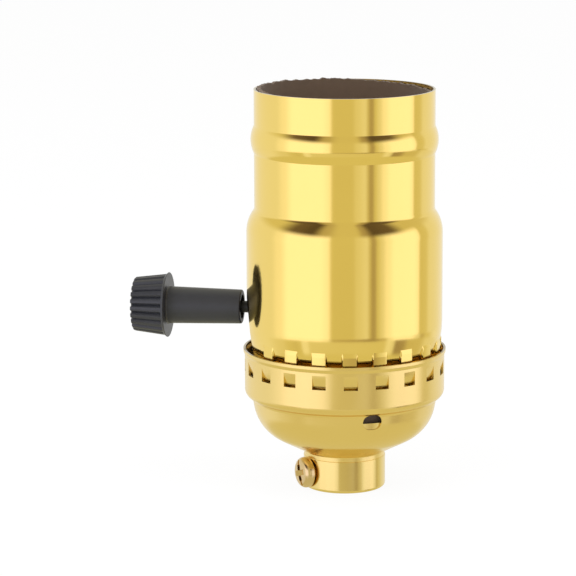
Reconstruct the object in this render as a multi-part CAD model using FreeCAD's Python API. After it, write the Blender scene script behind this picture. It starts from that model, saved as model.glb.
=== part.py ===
"""Turn-knob lamp holder: a drawn shell in a snap-fit cap, a threaded bush, and the switched interior.

Millimetres, +Z up. The origin is the centre of the bush's lower face, the bulb leaves along +Z,
and the knob points along -X. Radii build outwards from the lamp's screw shell and the pipe's
thread; heights build upwards from the bush.
"""
import FreeCAD, Part
import math
import os
from FreeCAD import Vector

# Sheet metal, card and fits
SHELL_WALL = 0.4
CAP_WALL = 0.4
SLEEVE_CARD = 0.7
CAP_CARD = 0.5
SLIDE_GAP = 0.15          # card sleeve inside the shell
LIP_GAP = 0.84            # lamp's screw shell inside the card sleeve
TOWER_GAP = 0.34          # switch body's tower inside the card sleeve
FOOT_GAP = 0.1            # switch body's foot inside the shell's skirt
CATCH_GAP = 0.28          # shell's catch bead inside the cap's ring
KNOB_GAP = 1.12           # knob off the shell's body
SPINDLE_GAP = 0.05        # running clearance of the spindle, on the radius
THREAD_GAP = 0.04         # between a screw's shank and its hole, on the radius

# Lamp's screw shell and centre contact
SCREW_SHELL_R = 13.3      # inner radius, the thread's root
SCREW_SHELL_WALL = 0.35
SCREW_SHELL_HEIGHT = 21.6
SCREW_NECK_HEIGHT = 4.6   # unthreaded foot of the screw shell, narrower than its thread
SCREW_NECK_STEP = 0.9
SCREW_LIP_FLARE = 1.05
SCREW_FLOOR_HOLE_R = 6.5
CONTACT_STRIP = 0.4
CONTACT_WIDTH = 4.6
CONTACT_LIFT = 3.8
CONTACT_FOOT_HALF = 1.5
CONTACT_TOP_X = 1.6
CONTACT_TOP_LENGTH = 2.2
CONTACT_NOSE = 0.8
RIVET_X = -4.1
RIVET_SHANK_R = 0.9
RIVET_HEAD_R = 1.4
RIVET_HEAD_HEIGHT = 0.7
SHELL_RIVET_X = 10.0
SHELL_RIVET_DEPTH = 4.0
RIVET_ABOVE_BEARING = 1.1  # tower's wall left between the shell's rivets and the spindle's bearing

# Threaded bush and its set screw
THREAD_R = 5.0
BUSH_WALL = 2.7
BUSH_HEIGHT = 6.1
BUSH_EDGE_R = 0.6
SPIGOT_WALL = 1.0
STAKE_GAP = 0.1
STAKE_HEIGHT = 0.9
STAKE_CHAMFER = 0.4
MOUTH_CHAMFER = 0.4
SET_SCREW_ANGLE = 216.4
SET_SCREW_Z = 3.3
SET_SCREW_R = 1.9
SET_HEAD_R = 2.9
SET_HEAD_HEIGHT = 1.9
SET_HEAD_STANDOFF = 0.05
SET_TIP_INSET = 0.3
HEAD_CHAMFER = 0.35

# Cap, from its boss up
BOSS_INSET = 0.1          # boss inside the bush's own radius
BOSS_HEIGHT = 0.85
FLOOR_RISE = 4.45
DOME_WALL_HEIGHT = 5.75
DOME_TAPER = 1.0
DOME_BEND_R = 8.2
STEP_WIDTH = 1.42
STEP_RISE = 0.75
NECK_BEND_R = 0.8
RING_BEND_R = 1.6
RING_HEIGHT = 8.9
RING_LIP_RISE = 0.24
RING_LIP_HEIGHT = 1.1

# Ring of tabs lanced inwards out of the cap's ring
TAB_COUNT = 20
TAB_PHASE = 11.4
TAB_WIDTH = 2.56
TAB_BELOW_TOP = 1.9
TAB_WINDOW_HEIGHT = 2.6
TAB_SLIT = 0.35
TAB_LEAN = 0.55

# Lanced port in the cap
PORT_ANGLE = 295.2
PORT_WIDTH = 3.6
PORT_HEIGHT = 2.9
PORT_ABOVE_DOME = 3.0
PORT_CUT_DEPTH = 3.0
PORT_FLAP_HEIGHT = 1.4
PORT_FLAP_LEAN = 0.8

# Card lining of the cap
LINING_RIM_GAP = 0.47
LINING_RIM_LIFT = 1.05
LINING_WALL_INSET = 0.5
LINING_KNEE_INSET = 0.9
LINING_KNEE_HEIGHT = 2.6
LINING_FLOOR_INSET = 3.8
LINING_FLOOR_DROP = 1.0
LINING_HOLE_GAP = 0.7

# Shell, from its skirt up
CATCH_BEAD_RISE = 0.45
CATCH_BEAD_SLOPE = 0.7
CATCH_BEAD_DEPTH = 1.3
WAIST_STEP = 0.7
WAIST_HEIGHT = 2.7
WAIST_ROUNDING = 0.912    # share of the waist's slope that its rounding takes up
BODY_HEIGHT = 21.7
SHOULDER_STEP = 1.5
SHOULDER_HEIGHT = 1.9
SHOULDER_ROUNDING = 0.76   # shares of its slope taken up by the rounding and by the hollow above it
SHOULDER_HOLLOW = 0.22
BEAD_ABOVE_SHOULDER = 12.8
BEAD_HALF_HEIGHT = 2.6
BEAD_PEAK = 1.15          # how far the bead's flanks would rise if they met in a point
BEAD_ROUNDING = 0.87
COLLAR_ABOVE_BEAD = 9.3

# Ring of stop pads pressed out of the shell
PAD_COUNT = 20
PAD_PHASE = 10.8
PAD_WIDTH = 2.8
PAD_HEIGHT = 2.8
PAD_OVERLAP = 0.3         # how far the pads' sheared edges stand below the cap's lip
PAD_RISE = 0.5

# Arched slot in the shell and the sleeve, for the spindle
SLOT_HALF_WIDTH = 7.2
SLOT_ARCH_BELOW_SPINDLE = 3.8

# Card sleeve
SLEEVE_BELOW_MOUTH = 0.5
SLEEVE_SEAM = 0.8
SLEEVE_SLOT_HALF = 4.6

# Moulded switch body, its cover and the fibre disc
FOOT_HEIGHT = 2.2
SPOT_FACE_GAP = 0.1
COVER_HEIGHT = 2.6
FIBRE_HEIGHT = 0.8
FIBRE_BRIM = 0.75
CAVITY_HALF_X = 7.5
CAVITY_HALF_Y = 6.5
CAVITY_BELOW_SPINDLE = 7.2
WIRE_NOTCH_HALF = 2.5
WIRE_NOTCH_DEPTH = 4.0

# Terminals
TERMINAL_RECESS = 4.6
TERMINAL_ABOVE_FOOT = 4.7
TERMINAL_PLATE = 0.8
TERMINAL_HALF_WIDTH = 4.0
TERMINAL_GUARD = 1.6
TERMINAL_LEG_HALF = 2.0
TERMINAL_SCREW_LIFT = 5.9
TERMINAL_SCREW_R = 1.7
TERMINAL_HEAD_R = 3.2
TERMINAL_HEAD_HEIGHT = 1.8
TERMINAL_SCREW_DEPTH = 3.0
DRIVE_SLOT_WIDTH = 0.8
DRIVE_SLOT_DEPTH = 0.8

# Spindle, its bearing and what it turns
SPINDLE_ABOVE_FOOT = 12.8
SPINDLE_R = 1.1
SPINDLE_IN_KNOB = 9.0
SPINDLE_TAIL = 1.5
BEARING_R = 2.2
BEARING_FLANGE_R = 3.2
BEARING_FLANGE = 0.6
BEARING_STANDS_IN = 0.3
CLIP_R = 2.6
CLIP_THICKNESS = 0.6
CLIP_GAP = 0.15
CLIP_MOUTH = 1.4
CAM_R = 4.1
CAM_FLAT = 3.6
CAM_HALF_LENGTH = 4.5
LEAF = 0.35
LEAF_WIDTH = 5.0
LEAF_GAP = 0.3            # leaf springs clear the turning cam by this much
CONTACT_GAP = 0.4         # the switch stands open
CLICK_LEAF = 0.3
CLICK_FOOT_SHARE = 0.7
FIXED_CONTACT_WIDTH = 2.4
FIXED_CONTACT_DROP = 2.0
FIXED_CONTACT_END_GAP = 0.4
FIXED_CONTACT_TIP_Y = 0.6
BUTTON_R = 0.9
BUTTON_HEIGHT = 0.15

# Knob
STEM_CHAMFER = 0.2
STEM_LENGTH = 14.1
STEM_INNER_R = 3.2
STEM_TAPER = 0.3
STEM_RECESS_WALL = 0.9
STEM_RECESS_DEPTH = 0.8
HEAD_LENGTH = 6.5
HEAD_INNER_R = 5.8
HEAD_TAPER = 0.73
HEAD_LIP_RISE = 0.4
HEAD_LIP = 0.5
HEAD_EDGE_R = 0.3
HEAD_RIM = 1.17
HEAD_DISH = 0.5
FLUTE_COUNT = 22
FLUTE_CUTTER_R = 0.62
FLUTE_DEPTH = 0.36

# Radii, worked out from the lamp's and the pipe's threads outwards
SCREW_SHELL_OUTER_R = SCREW_SHELL_R + SCREW_SHELL_WALL
SCREW_LIP_R = SCREW_SHELL_OUTER_R + SCREW_LIP_FLARE
FIBRE_R = SCREW_SHELL_OUTER_R + FIBRE_BRIM
SLEEVE_INNER_R = SCREW_LIP_R + LIP_GAP
SLEEVE_OUTER_R = SLEEVE_INNER_R + SLEEVE_CARD
TOWER_R = SLEEVE_INNER_R - TOWER_GAP
COLLAR_R = SLEEVE_OUTER_R + SLIDE_GAP + SHELL_WALL
BODY_R = COLLAR_R + SHOULDER_STEP
SKIRT_R = BODY_R - WAIST_STEP
FOOT_R = SKIRT_R - SHELL_WALL - FOOT_GAP
RING_R = SKIRT_R + CATCH_BEAD_RISE + CATCH_GAP + CAP_WALL
NECK_R = RING_R - STEP_WIDTH
DOME_CORNER_R = NECK_R - DOME_TAPER
BUSH_R = THREAD_R + BUSH_WALL
SPIGOT_R = THREAD_R + SPIGOT_WALL
BOSS_R = BUSH_R - BOSS_INSET
TERMINAL_FLAT = TOWER_R - TERMINAL_RECESS
TERMINAL_FACE = TERMINAL_FLAT + TERMINAL_PLATE

# Heights, worked out from the bush upwards
BOSS_CORNER_Z = BUSH_HEIGHT + BOSS_HEIGHT
DOME_CORNER_Z = BOSS_CORNER_Z + FLOOR_RISE
NECK_Z = DOME_CORNER_Z + DOME_WALL_HEIGHT
RING_CORNER_Z = NECK_Z + STEP_RISE
RING_TOP = RING_CORNER_Z + RING_HEIGHT
TAB_HINGE = RING_TOP - TAB_BELOW_TOP
CATCH_TOP = TAB_HINGE - TAB_WINDOW_HEIGHT
SHELL_BOTTOM = CATCH_TOP - CATCH_BEAD_SLOPE - CATCH_BEAD_DEPTH
PAD_BOTTOM = RING_TOP - PAD_OVERLAP
PAD_TOP = PAD_BOTTOM + PAD_HEIGHT
WAIST_CORNER = RING_TOP + WAIST_HEIGHT
SHOULDER_CORNER = WAIST_CORNER + BODY_HEIGHT
SHOULDER_TOP = SHOULDER_CORNER + SHOULDER_HEIGHT
BEAD_MIDDLE = SHOULDER_TOP + BEAD_ABOVE_SHOULDER
SHELL_TOP = BEAD_MIDDLE + COLLAR_ABOVE_BEAD
PORT_BOTTOM = DOME_CORNER_Z + PORT_ABOVE_DOME
LINING_RIM_Z = NECK_Z + LINING_RIM_LIFT
FOOT_BOTTOM = LINING_RIM_Z + CAP_CARD
FOOT_TOP = FOOT_BOTTOM + FOOT_HEIGHT
TERMINAL_BOTTOM = FOOT_TOP + TERMINAL_ABOVE_FOOT
TERMINAL_SCREW_Z = TERMINAL_BOTTOM + TERMINAL_SCREW_LIFT
SPINDLE_Z = FOOT_TOP + SPINDLE_ABOVE_FOOT
CAVITY_FLOOR = SPINDLE_Z - CAVITY_BELOW_SPINDLE
TOWER_TOP = SPINDLE_Z + BEARING_R + RIVET_ABOVE_BEARING + SHELL_RIVET_DEPTH
FIXED_CONTACT_Z = TOWER_TOP - FIXED_CONTACT_DROP
COVER_TOP = TOWER_TOP + COVER_HEIGHT
FIBRE_TOP = COVER_TOP + FIBRE_HEIGHT
SCREW_SHELL_TOP = FIBRE_TOP + SCREW_SHELL_HEIGHT

# Places along the spindle
KNOB_INNER_X = -(BODY_R + KNOB_GAP)
BEARING_INNER_X = BEARING_STANDS_IN - CAVITY_HALF_X
SPINDLE_END_X = CAVITY_HALF_X + SPINDLE_TAIL
FIXED_CONTACT_X = CAVITY_HALF_X - FIXED_CONTACT_END_GAP - FIXED_CONTACT_WIDTH

# Roundings, sized by the slopes that they soften
WAIST_TURN = math.atan2(WAIST_STEP, WAIST_HEIGHT)
WAIST_CURVE_R = WAIST_ROUNDING * math.hypot(WAIST_STEP, WAIST_HEIGHT) / math.tan(WAIST_TURN / 2)
WAIST_CENTRE_Z = WAIST_CORNER + WAIST_CURVE_R * math.tan(WAIST_TURN / 2)
SHOULDER_TURN = math.atan2(SHOULDER_STEP, SHOULDER_HEIGHT)
SHOULDER_SLOPE = math.hypot(SHOULDER_STEP, SHOULDER_HEIGHT)
SHOULDER_R = SHOULDER_ROUNDING * SHOULDER_SLOPE / math.tan(SHOULDER_TURN / 2)
SHOULDER_HOLLOW_R = SHOULDER_HOLLOW * SHOULDER_SLOPE / math.tan(SHOULDER_TURN / 2)
BEAD_CROWN_R = BEAD_ROUNDING * math.hypot(BEAD_PEAK, BEAD_HALF_HEIGHT) * BEAD_HALF_HEIGHT / BEAD_PEAK

FAR = 60.0                # longer than any piece, for cuts that run right through
Z_AXIS = Vector(0, 0, 1)


def turned_to(shape, degrees):
    """Copy of a shape turned about the holder's own axis."""
    copy = shape.copy()
    copy.rotate(Vector(0, 0, 0), Z_AXIS, degrees)
    return copy


def ring_of(shape, count, phase, skip_half_angle=0.0):
    """Copies of a shape all round the axis, leaving out those that face the spindle's slot."""
    copies = []
    for index in range(count):
        angle = phase + index * 360.0 / count
        if abs(angle % 360.0 - 180.0) >= skip_half_angle:
            copies.append(turned_to(shape, angle))
    return copies


def box(low, high):
    """Box between two corners."""
    size = [b - a for a, b in zip(low, high)]
    return Part.makeBox(size[0], size[1], size[2], Vector(*low))


def rod(radius, start, end):
    """Round rod between two points."""
    along = Vector(*end) - Vector(*start)
    return Part.makeCylinder(radius, along.Length, Vector(*start), along)


def rounded_path(corners):
    """Edges in the XZ plane through (r, z, radius) corners, each rounded by its radius."""
    points = [Vector(r, 0, z) for r, z, radius in corners]
    edges = []
    last = points[0]
    for index in range(1, len(points) - 1):
        corner = points[index]
        radius = corners[index][2]
        start = end = corner
        if radius > 0:
            back = (points[index - 1] - corner).normalize()
            ahead = (points[index + 1] - corner).normalize()
            half_angle = back.getAngle(ahead) / 2
            start = corner + back * (radius / math.tan(half_angle))
            end = corner + ahead * (radius / math.tan(half_angle))
            middle = corner + (back + ahead).normalize() * (radius / math.sin(half_angle) - radius)
        edges.append(Part.LineSegment(last, start).toShape())
        if radius > 0:
            edges.append(Part.Arc(start, middle, end).toShape())
        last = end
    edges.append(Part.LineSegment(last, points[-1]).toShape())
    return edges


def other_side(corners, wall):
    """Corners of a sheet's inner side, square to the outer side at one wall thickness."""
    directions = []
    for (r0, z0, _), (r1, z1, _) in zip(corners[:-1], corners[1:]):
        length = math.hypot(r1 - r0, z1 - z0)
        directions.append(((r1 - r0) / length, (z1 - z0) / length))
    inner = []
    for index, (r, z, radius) in enumerate(corners):
        dr0, dz0 = directions[max(index - 1, 0)]
        dr1, dz1 = directions[min(index, len(directions) - 1)]
        share = wall / (1 + dr0 * dr1 + dz0 * dz1)
        turns_out = dr0 * dz1 - dz0 * dr1 > 0
        inner_radius = radius + wall if turns_out else radius - wall
        if radius == 0 or inner_radius < 0:
            inner_radius = 0
        inner.append((r + share * (dz0 + dz1), z - share * (dr0 + dr1), inner_radius))
    return inner


def closed_face(*runs):
    """Flat face whose outline is the given runs of corners joined end to end."""
    edges = []
    for index, run in enumerate(runs):
        edges += rounded_path(run)
        following = runs[(index + 1) % len(runs)]
        start = Vector(run[-1][0], 0, run[-1][1])
        end = Vector(following[0][0], 0, following[0][1])
        edges.append(Part.LineSegment(start, end).toShape())
    return Part.Face(Part.Wire(edges))


def turned(corners):
    """Solid turned about Z from the corners of its half section."""
    return closed_face(corners).revolve(Vector(0, 0, 0), Z_AXIS, 360)


def drawn(corners, wall):
    """Drawn sheet or pressed card, from the outer corners of its section, top to bottom."""
    face = closed_face(corners, other_side(corners, wall)[::-1])
    return face.revolve(Vector(0, 0, 0), Z_AXIS, 360)


def prism(corners, width):
    """Straight piece of the given XZ section, centred on Y."""
    solid = closed_face(corners).extrude(Vector(0, width, 0))
    solid.translate(Vector(0, -width / 2, 0))
    return solid


def strip(corners, thickness, width):
    """Bent metal strip, from the corners of its lower side, read towards -X."""
    face = closed_face(corners, other_side(corners, thickness)[::-1])
    solid = face.extrude(Vector(0, width, 0))
    solid.translate(Vector(0, -width / 2, 0))
    return solid


def outline(*points):
    """Sharp corners from (r, z) pairs."""
    return [(r, z, 0) for r, z in points]


def spindle_slot(half_width, arch_z):
    """Cutter for a slot that opens downwards and ends in an arch, on the knob's side."""
    arch = rod(half_width, (-FAR, 0, arch_z), (0, 0, arch_z))
    return arch.fuse(box((-FAR, -half_width, 0), (0, half_width, arch_z)))


def waist_radius(z):
    """Outside radius of the shell where it draws in above the cap."""
    return BODY_R - WAIST_CURVE_R + math.sqrt(WAIST_CURVE_R ** 2 - (WAIST_CENTRE_Z - z) ** 2)


def make_shell():
    """Drawn shell: collar, bead, shoulder, body, drawn-in waist, and the skirt with its catch bead."""
    shell = drawn([
        (COLLAR_R, SHELL_TOP, 0),
        (COLLAR_R, BEAD_MIDDLE + BEAD_HALF_HEIGHT, 0),
        (COLLAR_R + BEAD_PEAK, BEAD_MIDDLE, BEAD_CROWN_R),
        (COLLAR_R, BEAD_MIDDLE - BEAD_HALF_HEIGHT, 0),
        (COLLAR_R, SHOULDER_TOP, SHOULDER_HOLLOW_R),
        (BODY_R, SHOULDER_CORNER, SHOULDER_R),
        (BODY_R, WAIST_CORNER, WAIST_CURVE_R),
        (SKIRT_R, RING_TOP, 0),
        (SKIRT_R, CATCH_TOP, 0),
        (SKIRT_R + CATCH_BEAD_RISE, CATCH_TOP - CATCH_BEAD_SLOPE, 0),
        (SKIRT_R + CATCH_BEAD_RISE, SHELL_BOTTOM, 0),
    ], SHELL_WALL)

    # Each pad is a louvre: pressed out from its top edge, and sheared open at its lower edge
    inside = SKIRT_R - SHELL_WALL / 2
    lower_r = SKIRT_R + PAD_RISE
    pad = prism(outline(
        (inside, PAD_BOTTOM), (inside, PAD_TOP), (waist_radius(PAD_TOP), PAD_TOP), (lower_r, PAD_BOTTOM)
    ), PAD_WIDTH)
    hollow = prism(outline(
        (SKIRT_R - 2 * SHELL_WALL, PAD_BOTTOM - SHELL_WALL),
        (SKIRT_R - 2 * SHELL_WALL, PAD_TOP),
        (waist_radius(PAD_TOP) - SHELL_WALL, PAD_TOP),
        (lower_r - SHELL_WALL, PAD_BOTTOM - SHELL_WALL),
    ), PAD_WIDTH - 2 * SHELL_WALL)
    slot_angle = math.degrees(math.asin((SLOT_HALF_WIDTH + PAD_WIDTH) / SKIRT_R))
    shell = shell.fuse(ring_of(pad, PAD_COUNT, PAD_PHASE, slot_angle))
    shell = shell.cut(ring_of(hollow, PAD_COUNT, PAD_PHASE, slot_angle))
    return shell.cut(spindle_slot(SLOT_HALF_WIDTH, SPINDLE_Z - SLOT_ARCH_BELOW_SPINDLE))


def make_shell_sleeve():
    """Rolled card sleeve with a butt seam at the front and a slot for the spindle."""
    top = SHELL_TOP - SLEEVE_BELOW_MOUTH
    sleeve = rod(SLEEVE_OUTER_R, (0, 0, FOOT_TOP), (0, 0, top))
    sleeve = sleeve.cut(rod(SLEEVE_INNER_R, (0, 0, FOOT_TOP), (0, 0, top)))
    seam = box((-SLEEVE_SEAM / 2, -FAR, 0), (SLEEVE_SEAM / 2, 0, 2 * FAR))
    return sleeve.cut([seam, spindle_slot(SLEEVE_SLOT_HALF, SPINDLE_Z)])


def make_cap():
    """Drawn cap: lipped ring with its lanced tabs, a step, a dome, and a boss for the bush."""
    cap = drawn([
        (RING_R + RING_LIP_RISE, RING_TOP, 0),
        (RING_R + RING_LIP_RISE, RING_TOP - RING_LIP_HEIGHT / 2, 0),
        (RING_R, RING_TOP - RING_LIP_HEIGHT, 0),
        (RING_R, RING_CORNER_Z, RING_BEND_R),
        (NECK_R, NECK_Z, NECK_BEND_R),
        (DOME_CORNER_R, DOME_CORNER_Z, DOME_BEND_R),
        (BOSS_R, BOSS_CORNER_Z, 0),
        (BOSS_R, BUSH_HEIGHT, 0),
        (SPIGOT_R, BUSH_HEIGHT, 0),
    ], CAP_WALL)

    # Tabs hinge on their top edge and lean inwards, with a slit below them
    face_r = math.sqrt(RING_R ** 2 - (TAB_WIDTH / 2) ** 2)
    tip_z = CATCH_TOP + TAB_SLIT
    window = box(
        (RING_R - 3 * CAP_WALL, -TAB_WIDTH / 2, CATCH_TOP),
        (RING_R + CAP_WALL, TAB_WIDTH / 2, TAB_HINGE),
    )
    tab = prism(outline(
        (face_r, TAB_HINGE + CAP_WALL / 2),
        (face_r, TAB_HINGE),
        (face_r - TAB_LEAN, tip_z),
        (face_r - TAB_LEAN - CAP_WALL, tip_z),
        (face_r - CAP_WALL, TAB_HINGE),
        (face_r - CAP_WALL, TAB_HINGE + CAP_WALL / 2),
    ), TAB_WIDTH)
    cap = cap.cut(ring_of(window, TAB_COUNT, TAB_PHASE))
    cap = cap.fuse(ring_of(tab, TAB_COUNT, TAB_PHASE))

    # Port: a rounded hole whose lower half is a flap pushed inwards
    port_top = PORT_BOTTOM + PORT_HEIGHT
    half = PORT_WIDTH / 2 - PORT_HEIGHT / 2
    middle_z = PORT_BOTTOM + PORT_HEIGHT / 2
    start_x = DOME_CORNER_R - PORT_CUT_DEPTH
    port = box((start_x, -half, PORT_BOTTOM), (FAR, half, port_top))
    for side in (-half, half):
        port = port.fuse(rod(PORT_HEIGHT / 2, (start_x, side, middle_z), (FAR, side, middle_z)))
    hinge_r = DOME_CORNER_R + DOME_TAPER * PORT_ABOVE_DOME / DOME_WALL_HEIGHT
    flap = strip(outline(
        (hinge_r - PORT_FLAP_LEAN, PORT_BOTTOM + PORT_FLAP_HEIGHT), (hinge_r, PORT_BOTTOM - CAP_WALL / 2)
    ), CAP_WALL, PORT_WIDTH)
    cap = cap.cut(turned_to(port, PORT_ANGLE))
    return cap.fuse(turned_to(flap.common(port), PORT_ANGLE))


def make_cap_lining():
    """Pressed card cup that lines the cap, with a rim under the switch body."""
    floor_z = DOME_CORNER_Z - LINING_FLOOR_DROP
    return drawn(outline(
        (RING_R - CAP_WALL - LINING_RIM_GAP, LINING_RIM_Z),
        (DOME_CORNER_R - LINING_WALL_INSET, LINING_RIM_Z),
        (DOME_CORNER_R - LINING_KNEE_INSET, DOME_CORNER_Z + LINING_KNEE_HEIGHT),
        (DOME_CORNER_R - LINING_FLOOR_INSET, floor_z),
        (BOSS_R + LINING_HOLE_GAP, floor_z),
    ), CAP_CARD)


def make_bush():
    """Turned bush, staked into the cap: bored for a threaded pipe, with a cross hole for its screw."""
    stake_bottom = BUSH_HEIGHT + CAP_WALL
    stake_top = stake_bottom + STAKE_HEIGHT
    stake_r = BOSS_R - CAP_WALL - STAKE_GAP
    bush = turned([
        (THREAD_R + MOUTH_CHAMFER, 0, 0),
        (BUSH_R, 0, BUSH_EDGE_R),
        (BUSH_R, BUSH_HEIGHT, 0),
        (SPIGOT_R, BUSH_HEIGHT, 0),
        (SPIGOT_R, stake_bottom, 0),
        (stake_r, stake_bottom, 0),
        (stake_r, stake_top - STAKE_CHAMFER, 0),
        (stake_r - STAKE_CHAMFER, stake_top, 0),
        (THREAD_R + MOUTH_CHAMFER, stake_top, 0),
        (THREAD_R, stake_top - MOUTH_CHAMFER, 0),
        (THREAD_R, MOUTH_CHAMFER, 0),
    ])
    hole = rod(SET_SCREW_R + THREAD_GAP, (0, 0, SET_SCREW_Z), (FAR, 0, SET_SCREW_Z))
    return bush.cut(turned_to(hole, SET_SCREW_ANGLE))


def make_screw(shank_r, shank_length, head_r, head_height):
    """Slotted cheese-head screw along +X, with the underside of its head in the YZ plane."""
    screw = turned([
        (0, -shank_length, 0),
        (shank_r, -shank_length, 0),
        (shank_r, 0, 0),
        (head_r, 0, 0),
        (head_r, head_height - HEAD_CHAMFER, 0),
        (head_r - HEAD_CHAMFER, head_height, 0),
        (0, head_height, 0),
    ])
    half = DRIVE_SLOT_WIDTH / 2
    low = head_height - DRIVE_SLOT_DEPTH
    screw = screw.cut(box((-FAR, -half, low), (FAR, half, FAR)))
    screw.rotate(Vector(0, 0, 0), Vector(0, 1, 0), 90)
    return screw


def make_set_screw():
    """Set screw of the bush, backed out so that its tip clears the pipe."""
    underside = BUSH_R + SET_HEAD_STANDOFF
    screw = make_screw(SET_SCREW_R, underside - THREAD_R - SET_TIP_INSET, SET_HEAD_R, SET_HEAD_HEIGHT)
    screw.translate(Vector(underside, 0, SET_SCREW_Z))
    return turned_to(screw, SET_SCREW_ANGLE)


def make_terminal_screw(side_angle):
    """Binding screw of one terminal."""
    screw = make_screw(TERMINAL_SCREW_R, TERMINAL_SCREW_DEPTH + TERMINAL_PLATE,
                       TERMINAL_HEAD_R, TERMINAL_HEAD_HEIGHT)
    screw.translate(Vector(TERMINAL_FACE, 0, TERMINAL_SCREW_Z))
    return turned_to(screw, side_angle)


def rivet_holes(low, high):
    """Cutters for the centre rivet and the two shell rivets through a layer."""
    holes = [rod(RIVET_SHANK_R, (RIVET_X, 0, low), (RIVET_X, 0, high))]
    for x in (-SHELL_RIVET_X, SHELL_RIVET_X):
        holes.append(rod(RIVET_SHANK_R, (x, 0, low), (x, 0, high)))
    return holes


def terminal_leg_notch():
    """Cutter for the neutral terminal's leg through the layers above the switch body."""
    half = TERMINAL_LEG_HALF + THREAD_GAP
    return box((-half, -FAR, TOWER_TOP), (half, -TERMINAL_FLAT, FIBRE_TOP))


def make_switch_body():
    """Moulded switch body: foot, tower, contact cavity, spindle bearings and terminal recesses."""
    body = rod(FOOT_R, (0, 0, FOOT_BOTTOM), (0, 0, FOOT_TOP))
    body = body.fuse(rod(TOWER_R, (0, 0, FOOT_TOP), (0, 0, TOWER_TOP)))
    cuts = [
        box((-CAVITY_HALF_X, -CAVITY_HALF_Y, CAVITY_FLOOR), (CAVITY_HALF_X, CAVITY_HALF_Y, FAR)),
        rod(BEARING_R, (-FAR, 0, SPINDLE_Z), (-CAVITY_HALF_X, 0, SPINDLE_Z)),
        rod(BEARING_FLANGE_R + SPOT_FACE_GAP, (-FAR, 0, SPINDLE_Z), (BEARING_FLANGE - TOWER_R, 0, SPINDLE_Z)),
        rod(SPINDLE_R + SPINDLE_GAP, (0, 0, SPINDLE_Z), (SPINDLE_END_X + SPOT_FACE_GAP, 0, SPINDLE_Z)),
        box((FIXED_CONTACT_X, 0, FIXED_CONTACT_Z),
            (FIXED_CONTACT_X + FIXED_CONTACT_WIDTH, TERMINAL_FLAT, FAR)),
    ]
    cuts += rivet_holes(TOWER_TOP - SHELL_RIVET_DEPTH, TOWER_TOP)[1:]
    half = TERMINAL_HALF_WIDTH + THREAD_GAP
    for side_angle in (0, 180):
        recess = box((-half, TERMINAL_FLAT, TERMINAL_BOTTOM), (half, FAR, FAR))
        notch = box((-WIRE_NOTCH_HALF, FOOT_R - WIRE_NOTCH_DEPTH, 0), (WIRE_NOTCH_HALF, FAR, TERMINAL_BOTTOM))
        tip = TERMINAL_FLAT - TERMINAL_SCREW_DEPTH
        hole = rod(TERMINAL_SCREW_R + THREAD_GAP, (0, tip, TERMINAL_SCREW_Z), (0, FAR, TERMINAL_SCREW_Z))
        cuts += [turned_to(cut, side_angle) for cut in (recess, notch, hole)]
    return body.cut(cuts)


def make_switch_cover():
    """Moulded disc that closes the cavity and carries the screw shell."""
    cover = rod(TOWER_R, (0, 0, TOWER_TOP), (0, 0, COVER_TOP))
    return cover.cut(rivet_holes(TOWER_TOP, COVER_TOP) + [terminal_leg_notch()])


def make_fibre_disc():
    """Vulcanised fibre disc between the cover and the screw shell."""
    disc = rod(FIBRE_R, (0, 0, COVER_TOP), (0, 0, FIBRE_TOP))
    return disc.cut(rivet_holes(COVER_TOP, FIBRE_TOP) + [terminal_leg_notch()])


def make_screw_shell():
    """Drawn shell that takes the lamp's cap: flared at its mouth, necked at its foot, with an open floor."""
    neck_z = FIBRE_TOP + SCREW_NECK_HEIGHT
    shell = drawn([
        (SCREW_LIP_R, SCREW_SHELL_TOP, 0),
        (SCREW_SHELL_OUTER_R, SCREW_SHELL_TOP - SCREW_LIP_FLARE, 0),
        (SCREW_SHELL_OUTER_R, neck_z, 0),
        (SCREW_SHELL_OUTER_R - SCREW_NECK_STEP, neck_z - SCREW_NECK_STEP, 0),
        (SCREW_SHELL_OUTER_R - SCREW_NECK_STEP, FIBRE_TOP, 0),
        (SCREW_FLOOR_HOLE_R, FIBRE_TOP, 0),
    ], SCREW_SHELL_WALL)
    return shell.cut(rivet_holes(FIBRE_TOP, FIBRE_TOP + SCREW_SHELL_WALL))


def make_centre_contact():
    """Bronze tongue that rises from its rivet to the middle of the screw shell's floor."""
    high = FIBRE_TOP + CONTACT_LIFT
    tip_x = CONTACT_TOP_X + CONTACT_TOP_LENGTH
    tongue = strip(outline(
        (tip_x + CONTACT_NOSE, high - CONTACT_NOSE),
        (tip_x, high),
        (CONTACT_TOP_X, high),
        (RIVET_X + CONTACT_FOOT_HALF, FIBRE_TOP),
        (RIVET_X - CONTACT_FOOT_HALF, FIBRE_TOP),
    ), CONTACT_STRIP, CONTACT_WIDTH)
    return tongue.cut(rivet_holes(FIBRE_TOP, FIBRE_TOP + CONTACT_STRIP)[0])


def make_centre_rivet():
    """Rivet that joins the centre contact to the spring contact below the cover."""
    top = FIBRE_TOP + CONTACT_STRIP
    bottom = TOWER_TOP - LEAF
    rivet = rod(RIVET_SHANK_R, (RIVET_X, 0, bottom), (RIVET_X, 0, top))
    upper = rod(RIVET_HEAD_R, (RIVET_X, 0, top), (RIVET_X, 0, top + RIVET_HEAD_HEIGHT))
    lower = rod(RIVET_HEAD_R, (RIVET_X, 0, bottom - RIVET_HEAD_HEIGHT), (RIVET_X, 0, bottom))
    return rivet.fuse([upper, lower])


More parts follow.
